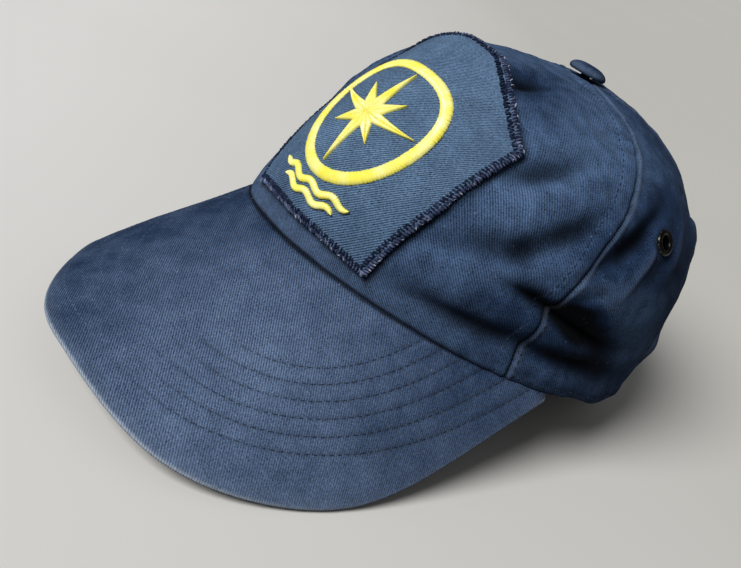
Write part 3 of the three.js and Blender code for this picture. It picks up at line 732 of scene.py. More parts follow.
# The tree that lays copies of one thread along lines: X runs along the line and Z outward from the
# cloth, and the stored value reach stretches each copy across the line
def laying_tree():
    tree = bpy.data.node_groups.new("laid_along_lines", "GeometryNodeTree")
    sockets = {
        "Geometry": "Geometry", "Thread": "Object", "Spacing": "Float", "Slant": "Float",
        "Slant Chance": "Float", "Size Chance": "Float", "Seed": "Int", "Finish": "Material",
    }
    for name, kind in sockets.items():
        tree.interface.new_socket(name, in_out="INPUT", socket_type="NodeSocket" + kind)
    tree.interface.new_socket("Geometry", in_out="OUTPUT", socket_type="NodeSocketGeometry")
    given = tree.nodes.new("NodeGroupInput")
    root = Wire(tree)
    size = {name: Wire(tree, given.outputs[name]) for name in sockets}
    line = root.add("GeometryNodeMeshToCurve", None, {0: size["Geometry"]})
    spaced = {"Curve": line, "Length": size["Spacing"]}
    line = root.add("GeometryNodeResampleCurve", {"mode": "LENGTH"}, spaced)
    outward = {"data_type": "FLOAT_VECTOR"}
    outward = root.add("GeometryNodeInputNamedAttribute", outward, {"Name": "outward"})
    reach = root.add("GeometryNodeInputNamedAttribute", {"data_type": "FLOAT"}, {"Name": "reach"})
    axes = {"primary_axis": "Z", "secondary_axis": "X"}
    along = root.add("GeometryNodeInputTangent")
    turn = root.add("FunctionNodeAxesToRotation", axes, {0: outward, 1: along})
    chance = {2: size["Slant Chance"] * -1, 3: size["Slant Chance"], "Seed": size["Seed"]}
    lean = root.add("FunctionNodeRandomValue", {"data_type": "FLOAT"}, chance, 1)
    lean = root.add("ShaderNodeCombineXYZ", None, {2: lean + size["Slant"]})
    lean = root.add("FunctionNodeEulerToRotation", None, {0: lean})
    turn = root.add("FunctionNodeRotateRotation", {"rotation_space": "LOCAL"}, {0: turn, 1: lean})
    chance = {2: 1 - size["Size Chance"], 3: 1 + size["Size Chance"], "Seed": size["Seed"] + 1}
    uneven = root.add("FunctionNodeRandomValue", {"data_type": "FLOAT"}, chance, 1)
    scale = root.add("ShaderNodeCombineXYZ", None, {0: uneven, 1: reach * uneven, 2: uneven})
    thread = root.add("GeometryNodeObjectInfo", None, {"Object": size["Thread"]}, "Geometry")
    copies = {"Points": line, "Instance": thread, "Rotation": turn, "Scale": scale}
    laid = root.add("GeometryNodeInstanceOnPoints", None, copies)
    laid = root.add("GeometryNodeRealizeInstances", None, {0: laid})
    laid = root.add("GeometryNodeSetMaterial", None, {"Geometry": laid, "Material": size["Finish"]})
    result = tree.nodes.new("NodeGroupOutput")
    tree.links.new(laid.socket, result.inputs[0])
    return tree


LAID = laying_tree()
Line = namedtuple("Line", "points outward reach closed")


def line_of(points, outward, reach=1.0, closed=False):
    return Line(points, outward, np.broadcast_to(reach, len(points)), closed)


# Copies of a thread laid along lines, as a plain mesh. The thread itself is removed.
def lay_threads(name, lines, thread, finish, spacing, slant_chance, size_chance, seed, slant=0.0):
    edges = []
    start = 0
    for line in lines:
        count = len(line.points)
        edges += [(start + i, start + i + 1) for i in range(count - 1)]
        if line.closed:
            edges.append((start + count - 1, start))
        start += count
    mesh = bpy.data.meshes.new(name)
    mesh.from_pydata(np.concatenate([line.points for line in lines]).tolist(), edges, [])
    outward = np.concatenate([line.outward for line in lines]).astype(np.float32)
    mesh.attributes.new("outward", "FLOAT_VECTOR", "POINT").data.foreach_set("vector", outward.ravel())
    reach = np.concatenate([line.reach for line in lines]).astype(np.float32)
    mesh.attributes.new("reach", "FLOAT", "POINT").data.foreach_set("value", reach)
    carrier = bpy.data.objects.new(name + "_lines", mesh)
    bpy.context.scene.collection.objects.link(carrier)
    modifier = carrier.modifiers.new("laid", "NODES")
    modifier.node_group = LAID
    given = {
        "Thread": thread, "Spacing": spacing, "Slant": slant, "Slant Chance": slant_chance,
        "Size Chance": size_chance, "Seed": seed, "Finish": finish,
    }
    for item in LAID.interface.items_tree:
        if item.in_out == "INPUT" and item.name in given:
            modifier[item.identifier] = given[item.name]
    depsgraph = bpy.context.evaluated_depsgraph_get()
    laid = bpy.data.meshes.new_from_object(carrier.evaluated_get(depsgraph))
    carrier.modifiers.remove(modifier)
    bpy.data.objects.remove(carrier)
    bpy.data.objects.remove(thread)
    laid.name = name
    laid.shade_smooth()
    piece = bpy.data.objects.new(name, laid)
    bpy.context.scene.collection.objects.link(piece)
    return piece


# Cotton thread, paler in places, with its strands showing as light and relief
TINT_SIZE = 2.2 * MM
TINT_CONTRAST = 4
STRAND_SIZE = 0.25 * MM
STRAND_LIGHT = 0.8
STRAND_DARKEST = 0.6
STRAND_RELIEF = 0.06 * MM
STRAND_RELIEF_STRENGTH = 0.5


def thread_finish(name, dark, pale, pale_from):
    finish, root, shader = new_finish(name)
    place = root.place()
    tint = (root.lumps(place, TINT_SIZE, 3.0) - pale_from) * TINT_CONTRAST
    strands = root.lumps(place, STRAND_SIZE, 1.0)
    colour = root.blend(tint.clamped(), dark, pale)
    feed(root.shaded(colour, strands * STRAND_LIGHT + STRAND_DARKEST), shader, "Base Color")
    set_constants(shader, {"Roughness": 0.8, "Specular IOR Level": 0.15})
    feed_relief(strands, shader, STRAND_RELIEF_STRENGTH, STRAND_RELIEF)
    return finish


SEAM_THREAD = thread_finish("seam_thread", (0.006, 0.01, 0.026, 1), (0.1, 0.14, 0.22, 1), 0.52)
STITCH_PROFILE = [(-0.5, -0.32), (-0.3, 0.02), (0, 0.1), (0.3, 0.02), (0.5, -0.32)]
STITCH_LENGTH = 2.2 * MM
STITCH_SPACING = 2.8 * MM
STITCH_RADIUS = 0.19 * MM
STITCH_ENDS = 0.55
STITCH_SUNK = 0.06 * MM
STITCH_SLANT_CHANCE = 0.12
PLAIN_ROW_SUNK = 0.22 * MM
FIRST_ROW = 3
ROW_ENDS = 0.94
LOW_ROW_ENDS = 0.27


def stitch_thread(radius):
    return thread_piece("stitch", STITCH_PROFILE, (STITCH_LENGTH, 0), radius, STITCH_ENDS)


# A line on a panel's face, through the place at the wanted distance in each row of distances
def line_on_face(distances, wanted, outer, outward, sunk):
    picked = []
    for grid in (outer, outward):
        picked.append(np.array([
            [np.interp(wanted[i], distances[i], grid[i, :, axis]) for axis in range(3)]
            for i in range(len(distances))
        ]))
    return line_of(picked[0] - sunk * picked[1], picked[1])


# Lines along a panel's first or last seam, or along its hem, at a distance from them
def row_by_seam(name, away, from_last, sunk, until=ROW_ENDS):
    face = surfaces[name]
    rows = slice(FIRST_ROW, int(until * PANEL_ROWS))
    width = face.width[rows]
    away = away(face.up[rows])
    wanted = width[:, -1] - away[:, -1] if from_last else away[:, 0]
    return line_on_face(width, wanted, face.outer[rows], face.outward[rows], sunk)


def row_by_hem(name):
    face = surfaces[name]
    wanted = np.full(face.rise.shape[1], HEM_GROOVE.at)
    outer = np.swapaxes(face.outer, 0, 1)
    return line_on_face(face.rise.T, wanted, outer, np.swapaxes(face.outward, 0, 1), STITCH_SUNK)


def plain_row(up):
    return np.full_like(up, PLAIN_ROW)


crown_rows = []
for from_last in (False, True):
    crown_rows.append(row_by_seam("crown_front", felled_row, from_last, STITCH_SUNK))
for back_name in ("crown_back_left", "crown_back_right"):
    for from_last in (False, True):
        crown_rows.append(row_by_seam(back_name, plain_row, from_last, PLAIN_ROW_SUNK))
    crown_rows.append(row_by_hem(back_name))
crown_rows.append(row_by_seam("crown_side_left", plain_row, True, PLAIN_ROW_SUNK))
crown_rows.append(row_by_seam("crown_side_right", plain_row, False, PLAIN_ROW_SUNK))
crown_rows.append(row_by_seam("crown_side_left", plain_row, False, STITCH_SUNK, LOW_ROW_ENDS))
crown_rows.append(row_by_seam("crown_side_right", plain_row, True, STITCH_SUNK, LOW_ROW_ENDS))
crown_rows += [row_by_hem("crown_side_left"), row_by_hem("crown_side_right")]
crown_stitches = lay_threads(
    "crown_stitching", crown_rows, stitch_thread(STITCH_RADIUS), SEAM_THREAD, STITCH_SPACING,
    STITCH_SLANT_CHANCE, size_chance=0.12, seed=3,
)
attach(crown_stitches, "root")


# Visor. A board bent about a lying cylinder and covered in twill on both faces, turned at the outer
# edge, where the cloth has worn pale, and quilted by six rows of topstitching.
VISOR_HALF_WIDTH = 81.8 * MM
VISOR_FRONT = 173.9 * MM
VISOR_END = math.radians(70.6)
VISOR_LEFT_CORNER = 2.74
VISOR_RIGHT_CORNER = 2.17
VISOR_CORNER_CHANGE = 0.5
VISOR_SKEW = 2.3 * MM
VISOR_FULL_AT = math.radians(-64)
VISOR_FULL_SPREAD = math.radians(17)
VISOR_FULL_BY = 9.3 * MM
VISOR_THICKNESS = 2.4 * MM
VISOR_TUCK = 4 * MM
VISOR_END_WIDTH = 1.2 * MM
VISOR_END_SHARPNESS = 12
VISOR_ROWS = 300
VISOR_COLUMNS = 110
EDGE_RADIUS = 1.15 * MM
EDGE_STEPS = np.array([1.4, 1.1, 0.8, 0.55, 0.35, 0.18, 0.06, 0]) * MM
TOPSTITCH_ROWS = 6
TOPSTITCH_FIRST_HALF_WIDTH = 52 * MM
TOPSTITCH_HALF_WIDTH_STEP = 4.8 * MM
TOPSTITCH_FIRST_FRONT = -136 * MM
TOPSTITCH_FRONT_STEP = -5.8 * MM
TOPSTITCH_POWER = 2.45
QUILT = Band(0.16 * MM, 0, 0.8 * MM)
TOPSTITCH_RADIUS = 0.15 * MM
TOPSTITCH_SHOWN = Ramp(1, -5 * MM, 48 * MM)
BOARD_WAVE = Lumps(0.45 * MM, 45 * MM, 0)
PALE_SPOT_X = 38 * MM
PALE_SPOT_Y = -130 * MM
LEFT_PALER = Ramp(0.25, 64 * MM, 16 * MM)
BOW_ACROSS = Ramp(2.6 * MM, 25 * MM, 35 * MM)
BOW_ALONG = Band(1, -122 * MM, 30 * MM)
BOARD_WAVE_FADES = 12 * MM
EDGE_STEPS_FROM = 1.7 * MM
EDGE_ROUNDING = 0.98
CRUMPLE = Lumps(0.09 * MM, 5 * MM, 4.4)
FRAY = Lumps(0.1 * MM, 1.1 * MM, 9.2)
FRAY_WIDTH = 1.2 * MM
TOPSTITCH_STEPS = 400
TOPSTITCH_SHADE = Band(0.25, 0, 0.5 * MM)
CROWN_SEAM_SHADE = Band(0.85, 0, 0.6 * MM)
EDGE_WEAR = Band(0.95, 0, 0.65 * MM)
EDGE_RUB = Band(0.08, 0, 3.5 * MM)
VISOR_FADE_LEAST = 0.08
PALE_SPOT_BAND = Band(0.8, 0, 56 * MM)
VISOR_WALES_LOST = Ramp(0.5, 20 * MM, 50 * MM)
UNDER_FADE = 0.3
UNDER_WEAR = 0.5


def visor_edge(swing):
    end_x, end_y = even_rim(VISOR_END)
    side = np.sin(swing)
    change = smooth((swing + VISOR_CORNER_CHANGE) / (2 * VISOR_CORNER_CHANGE))
    power = lerp(VISOR_RIGHT_CORNER, VISOR_LEFT_CORNER, change)
    reach = np.maximum(np.cos(swing), TINY) ** (2 / power)
    to_end = np.abs(side) ** VISOR_END_SHARPNESS
    sweep = VISOR_HALF_WIDTH * signed_power(side, 2 / power)
    sweep = sweep - VISOR_FULL_BY * bell((swing - VISOR_FULL_AT) / VISOR_FULL_SPREAD)
    x = lerp(sweep, np.sign(side) * (end_x + VISOR_END_WIDTH), to_end) + VISOR_SKEW * reach
    return x, lerp(end_y, -VISOR_FRONT, reach)


# The board bows up a little on the wearer's right
def visor_bow(x, y):
    return ramped(-x, BOW_ACROSS) * banded(y, BOW_ALONG)


def visor_board(x, y):
    return np.stack([x, y, visor_height(x, y) + visor_bow(x, y)], axis=-1) + ORIGIN


# The topstitched row of the given number: its half width at the seam, and where it ends and turns
def topstitch_sizes(number):
    half_width = TOPSTITCH_FIRST_HALF_WIDTH + number * TOPSTITCH_HALF_WIDTH_STEP
    rim_x, rim_y = even_rim(np.linspace(0, RIGHT_ANGLE, TOPSTITCH_STEPS))
    front = TOPSTITCH_FIRST_FRONT + number * TOPSTITCH_FRONT_STEP
    return half_width, np.interp(half_width, rim_x, rim_y), front


# Distance in plan from the nearest topstitched row
def from_topstitch(x, y):
    nearest = np.full_like(x, 1.0)
    power = TOPSTITCH_POWER - 1
    for number in range(TOPSTITCH_ROWS):
        half_width, end, front = topstitch_sizes(number)
        across = np.abs(x) / half_width
        ahead = np.maximum((y - end) / (front - end), 0)
        field = across ** TOPSTITCH_POWER + ahead ** TOPSTITCH_POWER - 1
        slope = TOPSTITCH_POWER * np.hypot(across ** power / half_width, ahead ** power / (front - end))
        nearest = np.minimum(nearest, np.abs(field) / np.maximum(slope, 1.0))
    return nearest


def visor_downward(x):
    bent = np.minimum(np.abs(x), VISOR_BEND_LIMIT)
    slope = -x / np.sqrt(VISOR_BEND_RADIUS ** 2 - bent ** 2)
    return unit(np.stack([slope, np.full_like(x, VISOR_FALL), np.full_like(x, -1.0)], axis=-1))


VISOR_TWILL = worn_shaded_twill(
    "visor_twill", NAVY_DYED, VISOR_NAVY_PALE, NAVY_RUBBED,
    pitch=0.82 * MM, slant=math.radians(140), contrast=0.95, mottled=0.25,
)


def visor_piece():
    swing = np.linspace(-RIGHT_ANGLE, RIGHT_ANGLE, VISOR_ROWS + 1)
    rim_x, rim_y = rim_plan(swing / RIGHT_ANGLE * VISOR_END)
    radius = np.hypot(rim_x, rim_y)
    tucked = np.stack([rim_x, rim_y], axis=-1) * ((radius - VISOR_TUCK) / radius)[:, None]
    edge = np.stack(visor_edge(swing), axis=-1)
    length = np.linalg.norm(edge - tucked, axis=-1)[:, None]
    main = np.linspace(0, 1, VISOR_COLUMNS + 1 - len(EDGE_STEPS), endpoint=False)
    out = np.concatenate([main * (1 - EDGE_STEPS_FROM / length), 1 - EDGE_STEPS / length], axis=1)
    plan = lerp(tucked[:, None], edge[:, None], out[..., None])
    x, y = plan[..., 0], plan[..., 1]
    board = visor_board(x, y)
    down = visor_downward(x)
    from_edge = (1 - out) * length
    rounding = np.maximum(EDGE_RADIUS - from_edge, 0)
    rounding = EDGE_RADIUS - np.sqrt(EDGE_RADIUS ** 2 - rounding ** 2 * EDGE_ROUNDING)
    shown = ramped(x, TOPSTITCH_SHOWN)
    from_row = from_topstitch(x, y)
    quilt = shown * banded(from_row, QUILT)
    wave = relief(board, BOARD_WAVE) * smooth(from_edge / BOARD_WAVE_FADES)
    crumple = relief(board, CRUMPLE)
    fray = relief(board, FRAY) * bell(from_edge / FRAY_WIDTH)
    top = board + down * (rounding + quilt - wave - crumple - fray)[..., None]
    under = board + down * (VISOR_THICKNESS - rounding - quilt - wave)[..., None]
    under[..., 2] = np.maximum(under[..., 2], 0)

    fall = math.atan(VISOR_FALL)
    bent = np.clip(x, -VISOR_BEND_LIMIT, VISOR_BEND_LIMIT)
    across = VISOR_BEND_RADIUS * np.arcsin(bent / VISOR_BEND_RADIUS)
    along = y / math.cos(fall) - visor_bend(x) * math.sin(fall)
    cloth = np.stack([across, along, np.zeros_like(x)], axis=-1)
    # Paler in a round spot on top and towards the wearer's left: sun fade and painted light
    from_spot = np.hypot(x - PALE_SPOT_X, y - PALE_SPOT_Y)
    fade = VISOR_FADE_LEAST + banded(from_spot, PALE_SPOT_BAND) + ramped(x, LEFT_PALER)
    wear = banded(from_edge, EDGE_WEAR) + banded(from_edge, EDGE_RUB)
    # Painted shade along the topstitched rows and in a thin line along the seam at the crown
    from_crown = np.maximum(out * length - VISOR_TUCK, 0)
    crease = np.maximum(shown * banded(from_row, TOPSTITCH_SHADE), banded(from_crown, CROWN_SEAM_SHADE))
    wales = 1 - ramped(x, VISOR_WALES_LOST)
    values = {
        "fade": (fade, UNDER_FADE),
        "wear": (wear, UNDER_WEAR * wear),
        "crease": (crease, crease),
        "wales": (wales, wales),
    }
    return wall_piece("visor_cloth", top, under, cloth, values)


visor = visor_piece()
visor.data.materials.append(VISOR_TWILL)
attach(visor, "root")
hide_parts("visor")


# Visor topstitching. Six rows of short navy stitches sunk into the quilted cloth, on the upper face
# and again on the under face. They have worn smooth towards the wearer's right.
TOPSTITCH_DARK = (0.008, 0.013, 0.03, 1)
TOPSTITCH_WORN = (0.085, 0.125, 0.21, 1)


def topstitch_line(number, depth, outward_sign):
    half_width, end, front = topstitch_sizes(number)
    swing = np.linspace(-RIGHT_ANGLE, RIGHT_ANGLE, TOPSTITCH_STEPS)
    x = half_width * signed_power(np.sin(swing), 2 / TOPSTITCH_POWER)
    y = lerp(end, front, np.maximum(np.cos(swing), TINY) ** (2 / TOPSTITCH_POWER))
    down = visor_downward(x)
    board = visor_board(x, y)
    return line_of(board + down * (depth - relief(board, BOARD_WAVE))[..., None], -down * outward_sign)


def topstitch_finish():
    finish, root, shader = new_finish("topstitch_thread")
    across = root.add("ShaderNodeSeparateXYZ", None, {0: root.place()})
    worn = 1 - (across - TOPSTITCH_SHOWN.start) * (1 / TOPSTITCH_SHOWN.over)
    feed(root.blend(worn.clamped(), TOPSTITCH_DARK, TOPSTITCH_WORN), shader, "Base Color")
    set_constants(shader, {"Roughness": 0.85})
    return finish


topstitch_rows = []
for row_number in range(TOPSTITCH_ROWS):
    topstitch_rows.append(topstitch_line(row_number, QUILT.amount, 1))
    topstitch_rows.append(topstitch_line(row_number, VISOR_THICKNESS - QUILT.amount, -1))
visor_stitches = lay_threads(
    "visor_topstitching", topstitch_rows, stitch_thread(TOPSTITCH_RADIUS), topstitch_finish(),
    STITCH_SPACING, STITCH_SLANT_CHANCE, size_chance=0.15, seed=11,
)
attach(visor_stitches, "root")


# Top button. A metal shell covered in the crown's twill, riveted through the top where the panels
# meet, leaning back a little with its front edge off the cloth.
BUTTON_RADIUS = 8 * MM
BUTTON_HEIGHT = 4.4 * MM
BUTTON_SEAT = 1.5 * MM
BUTTON_STEM_RADIUS = 2 * MM
BUTTON_STEM_LENGTH = 4 * MM
BUTTON_TILT = math.radians(11)
BUTTON_SIDES = 72
BUTTON_STEPS = 12
BUTTON_FLAT = 0.84 * BUTTON_RADIUS
BUTTON_LIP_RADIUS = 0.95 * BUTTON_RADIUS
BUTTON_LIP_HEIGHT = 0.08 * BUTTON_HEIGHT
BUTTON_TIP_RADIUS = 0.02 * BUTTON_RADIUS
BUTTON_DOME_FROM = 0.26
BUTTON_DOME_POWER = 0.75
BUTTON_EDGE_WIDTH = 0.12
BUTTON_EDGE_WEAR = 0.12
BUTTON_FADE = 0.12
BUTTON_WALES = 0.5


# A turned piece: a profile of radius and height carried round an axis
def turned(name, profile, sides, centre, axis, values, closed=False):
    profile = np.asarray(profile)
    axis = unit(np.asarray(axis, float))
    side = unit(np.cross(axis, [0.3, 1, 0.2]))
    over = np.cross(axis, side)
    angles = np.arange(sides) / sides * TURN
    spokes = np.cos(angles)[:, None] * side + np.sin(angles)[:, None] * over
    points = centre + profile[:, None, :1] * spokes + profile[:, None, 1:] * axis
    return mesh_piece(name, points, ring_faces(len(profile), sides, closed), values(profile, angles))


def button_values(profile, angles):
    radius = profile[:, :1]
    cloth = np.stack([radius * np.cos(angles), radius * np.sin(angles), 0 * radius * angles], axis=-1)
    edge = bell((radius / BUTTON_RADIUS - 1) / BUTTON_EDGE_WIDTH) + 0 * angles
    return {
        "cloth": cloth.reshape(-1, 3),
        "fade": np.full(edge.size, BUTTON_FADE),
        "wear": BUTTON_EDGE_WEAR * edge.ravel(),
        "crease": np.zeros(edge.size),
        "wales": np.full(edge.size, BUTTON_WALES),
    }


def button_profile():
    profile = [(BUTTON_STEM_RADIUS, -BUTTON_STEM_LENGTH), (BUTTON_STEM_RADIUS, 0)]
    profile += [(BUTTON_FLAT, 0), (BUTTON_LIP_RADIUS, BUTTON_LIP_HEIGHT)]
    for angle in np.linspace(0, RIGHT_ANGLE, BUTTON_STEPS)[:-1]:
        height = BUTTON_HEIGHT * lerp(BUTTON_DOME_FROM, 1, math.sin(angle))
        profile.append((BUTTON_RADIUS * math.cos(angle) ** BUTTON_DOME_POWER, height))
    return profile + [(BUTTON_TIP_RADIUS, BUTTON_HEIGHT)]


lean_axis = np.array([0, math.sin(BUTTON_TILT), math.cos(BUTTON_TILT)])
button_foot = np.array([0, CROWN_TOP_Y, CROWN_HEIGHT]) + ORIGIN + lean_axis * BUTTON_SEAT
button = turned(
    "top_button_cloth", button_profile(), BUTTON_SIDES, button_foot, lean_axis, button_values,
)
button.data.materials.append(CROWN_TWILL)
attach(button, "root")
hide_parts("top_button")


# Vent eyelets. Rolled brass rings, blackened, with a flange on both faces of the cloth. The black has
# rubbed off their high edges and shows the metal.
EYELET_BORE = 2.5 * MM
EYELET_BARREL = 3.3 * MM
EYELET_OUTER = 4.8 * MM
EYELET_INNER = 4.6 * MM
EYELET_SEAT = 0.45 * MM
EYELET_ROLL = 0.95 * MM
EYELET_ROLL_STEPS = 11
EYELET_FLANGE = 0.6 * MM
EYELET_SIDES = 48
EYELET_RUB_WIDTH = 0.45 * MM
SIDE_CLOTH = 1.4 * MM
BLACKENED = (0.012, 0.012, 0.011, 1)
BARE_BRASS = (0.3, 0.26, 0.13, 1)
BARE_SIZE = 1.2 * MM
BARE_FROM = 1.5
BARE_CONTRAST = 5
BRASS_ROUGHNESS = 0.3
BARE_GLOSS = 0.05
BRASS_RELIEF = 0.1 * MM
BRASS_RELIEF_STRENGTH = 0.3


def blackened_brass():
    finish, root, shader = new_finish("dark_brass")
    patches = root.lumps(root.place(), BARE_SIZE, 3.0)
    bare = ((root.stored("high") + patches - BARE_FROM) * BARE_CONTRAST).clamped()
    feed(root.blend(bare, BLACKENED, BARE_BRASS), shader, "Base Color")
    feed(BRASS_ROUGHNESS - bare * BARE_GLOSS, shader, "Roughness")
    set_constants(shader, {"Metallic": 0.9})
    feed_relief(patches, shader, BRASS_RELIEF_STRENGTH, BRASS_RELIEF)
    return finish


DARK_BRASS = blackened_brass()


def eyelet_values(profile, angles):
    high = bell((profile[:, :1] - EYELET_OUTER) / EYELET_RUB_WIDTH) * (profile[:, 1:] > 0) + 0 * angles
    return {"high": high.ravel()}


def eyelet(name, side):
    place = np.array(side * EYELET_AROUND), np.array(EYELET_UP)
    depth, hang = fold_depth(FOLDS, *place)
    outward, upward = crown_directions(*place)
    centre = crown_form(*place) - outward * depth - upward * hang
    inside = -SIDE_CLOTH - EYELET_SEAT
    flange_middle = (EYELET_OUTER + EYELET_BORE) / 2
    half_flange = (EYELET_OUTER - EYELET_BORE) / 2
    rolled = [
        (flange_middle + half_flange * math.cos(angle), EYELET_SEAT + EYELET_ROLL * math.sin(angle))
        for angle in np.linspace(0, math.pi, EYELET_ROLL_STEPS)
    ]
    profile = [
        (EYELET_BORE, inside - EYELET_FLANGE), (EYELET_INNER, inside - EYELET_FLANGE),
        (EYELET_INNER, inside), (EYELET_BARREL, inside), (EYELET_BARREL, EYELET_SEAT), *rolled,
    ]
    piece = turned(name + "_ring", profile, EYELET_SIDES, centre, outward, eyelet_values, True)
    piece.data.materials.append(DARK_BRASS)
    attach(piece, "root")
    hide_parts(name)


eyelet("eyelet_left", 1)
eyelet("eyelet_right", -1)


# Patch. A shield of navy twill with a slant of its own, laid on the front panel and held by its
# overlocked edge. It follows the crown's form and stands a little off it.
Row = namedtuple("Row", "up half_width drop")
PATCH_ROWS = [Row(10.8, 35, 4.2), Row(41, 45.6, 4.3), Row(71, 50.6, 4.4), Row(104.5, 12, 2.5)]
PATCH_CENTRE = -1 * MM
PATCH_LIFT = 0.6 * MM
PATCH_TOP_LIFT = Ramp(3.8 * MM, 0.66, 0.34)
PATCH_THICKNESS = 1.2 * MM
PATCH_STEPS = 130
PATCH_PUFF = Lumps(0.25 * MM, 14 * MM, 2.2)
PATCH_CRUMPLE = Lumps(0.08 * MM, 3 * MM, 5.1)
PATCH_FADE = 0.68
PATCH_WEAR = 0.02
ROLL_WIDTH = 2.0 * MM
LEAST_HALF_WIDTH = 2 * MM
WIDTH_PASSES = 3
PACE_STEP = 0.01
CENTRE_STEPS = 241

centre_ups = np.linspace(0, RIGHT_ANGLE, CENTRE_STEPS)
centre_lengths = running_length(crown_form(0 * centre_ups, centre_ups), 0)


def pace_around(around, up):
    ahead = crown_form(around + PACE_STEP, up)
    return np.linalg.norm(ahead - crown_form(around - PACE_STEP, up), axis=-1) / (2 * PACE_STEP)


# A point over the front panel by its width from the centre front, its length up the cloth and height
def patch_point(width, length, height):
    up = np.interp(length, centre_lengths, centre_ups)
    around = np.zeros_like(up)
    for _ in range(WIDTH_PASSES):
        around = width / pace_around(around / 2, up)
    outward, _ = crown_directions(around, up)
    return crown_form(around, up) + outward * np.asarray(height)[..., None], outward


def patch_place(across, share, inset):
    place = np.linspace(0, 1, len(PATCH_ROWS))
    up, half_width, drop_by = (
        np.interp(share, place, [getattr(row, column) * MM for row in PATCH_ROWS])
        for column in Row._fields
    )
    half_width = np.maximum(half_width - inset, LEAST_HALF_WIDTH)
    length = up + lerp(inset, -inset, share) - drop_by * across * across
    return PATCH_CENTRE + half_width * across, length


# The patch's height off the crown: its top edge curls up
def patch_lift(share):
    return PATCH_LIFT + ramped(share, PATCH_TOP_LIFT)


PATCH_FADED = (0.1, 0.17, 0.275, 1)
PATCH_TWILL = worn_shaded_twill(
    "patch_twill", NAVY_DYED, PATCH_FADED, NAVY_RUBBED,
    pitch=0.78 * MM, slant=math.radians(38), contrast=1.1, mottled=0.15,
)


def patch_piece():
    share = np.linspace(0, 1, PATCH_STEPS + 1)[:, None]
    across = np.linspace(-1, 1, PATCH_STEPS + 1)[None, :]
    across, share = np.broadcast_arrays(across, share)
    width, length = patch_place(across, share, ROLL_WIDTH / 2)
    form, outward = patch_point(width, length, np.zeros_like(width))
    puff = relief(form, PATCH_PUFF) + relief(form, PATCH_CRUMPLE)
    lift = patch_lift(share)
    top = form + outward * (lift + PATCH_THICKNESS + puff)[..., None]
    under = form + outward * lift[..., None]
    cloth = np.stack([width, length, 0 * width], axis=-1)
    values = {
        "fade": (PATCH_FADE, PATCH_FADE),
        "wear": (PATCH_WEAR, PATCH_WEAR),
        "crease": (0, 0),
        "wales": (1, 1),
    }
    piece = wall_piece("patch_cloth", top, under, cloth, values)
    piece.data.materials.append(PATCH_TWILL)
    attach(piece, "root")
    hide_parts("patch")
    row_width = width[:, -1] - width[:, 0]
    cut_area = np.sum((row_width[1:] + row_width[:-1]) / 2 * np.diff(length[:, 0]))


patch_piece()


# Patch border. Overlock thread wraps the patch's raw edge in a worn, pale roll. Dark whipped stitches
# in a zigzag hold it from the inner side and lint clings to it. A shadow is painted on the front panel
# along its edge.
BORDER_STEPS = 140
ROLL_HEIGHT = 1.5 * MM
ROLL_SIDES = 12
ROLL_CORE_WIDTH = 0.45
ROLL_CORE_AT = 0.45
ROLL_CORE_HEIGHT = 0.42
PATCH_EDGE_SHADOW = Band(0.65, 0.9 * MM, 1.6 * MM)
WRAP_THREAD = thread_finish("wrap_thread", (0.03, 0.043, 0.095, 1), (0.17, 0.2, 0.32, 1), 0.45)
WHIP_THREAD = thread_finish("whip_thread", (0.006, 0.012, 0.034, 1), (0.045, 0.062, 0.13, 1), 0.5)
LINT = thread_finish("lint", (0.3, 0.32, 0.38, 1), (0.6, 0.6, 0.62, 1), 0.5)
WRAP_PROFILE = [(-0.52, -0.25), (-0.42, 0.45), (0, 0.78), (0.4, 0.5), (0.55, 0.1)]
WHIP_PROFILE = [(-0.5, -0.2), (-0.4, 0.2), (0, 0.3), (0.4, 0.2), (0.5, -0.2)]
TUFT_PROFILE = [(-1.0, 0.3), (-0.5, 0.7), (0.1, 0.6)]
OVERLOCK_ENDS = 0.7

# Threads laid across the border, with their inset, height, width, radius and spacing in millimetres
Overlock = namedtuple("Overlock", "name inset height width radius spacing rolled_by slants seed")
Slants = namedtuple("Slants", "slant slant_chance size_chance")
OVERLOCK = [
    Overlock("wraps", 1.0, 0.6, 2.0, 0.36, 1.15, 0, Slants(0.25, 0.25, 0.16), 21),
    Overlock("whips_0", 2.45, 1.2, 1.9, 0.32, 1.3, 0, Slants(0.4, 0.2, 0.2), 24),
    Overlock("whips_1", 2.45, 1.2, 1.9, 0.32, 2.9, 2, Slants(-0.5, 0.2, 0.2), 25),
    Overlock("tufts", 0.1, 0.4, 1.0, 0.16, 2.6, 0, Slants(0.0, 1.3, 0.5), 27),
]
OVERLOCK_THREADS = {
    "wraps": (WRAP_PROFILE, WRAP_THREAD),
    "whips": (WHIP_PROFILE, WHIP_THREAD),
    "tufts": (TUFT_PROFILE, LINT),
}


# The border's line at an inset from the patch's edge, walked bottom, left, top and right
def border_line(inset, height):
    run = np.linspace(0, 1, BORDER_STEPS, endpoint=False)
    across = np.concatenate([2 * run - 1, 1 + 0 * run, 1 - 2 * run, 0 * run - 1])
    share = np.concatenate([0 * run, run, 1 + 0 * run, 1 - run])
    width, length = patch_place(across, share, inset)
    return patch_point(width, length, patch_lift(share) + height)


def roll_core():
    rings = []
    for angle in np.linspace(0, TURN, ROLL_SIDES, endpoint=False):
        inset = ROLL_WIDTH * (0.5 + ROLL_CORE_WIDTH * math.cos(angle))
        height = ROLL_HEIGHT * (ROLL_CORE_AT + ROLL_CORE_HEIGHT * math.sin(angle))
        rings.append(border_line(inset, height)[0])
    faces = ring_faces(ROLL_SIDES, len(rings[0]), True)
    outward_faces = [face[:1] + face[:0:-1] for face in faces]
    piece = mesh_piece("patch_border_roll", np.stack(rings), outward_faces, sharp_from=180)
    piece.data.materials.append(WHIP_THREAD)
    return piece


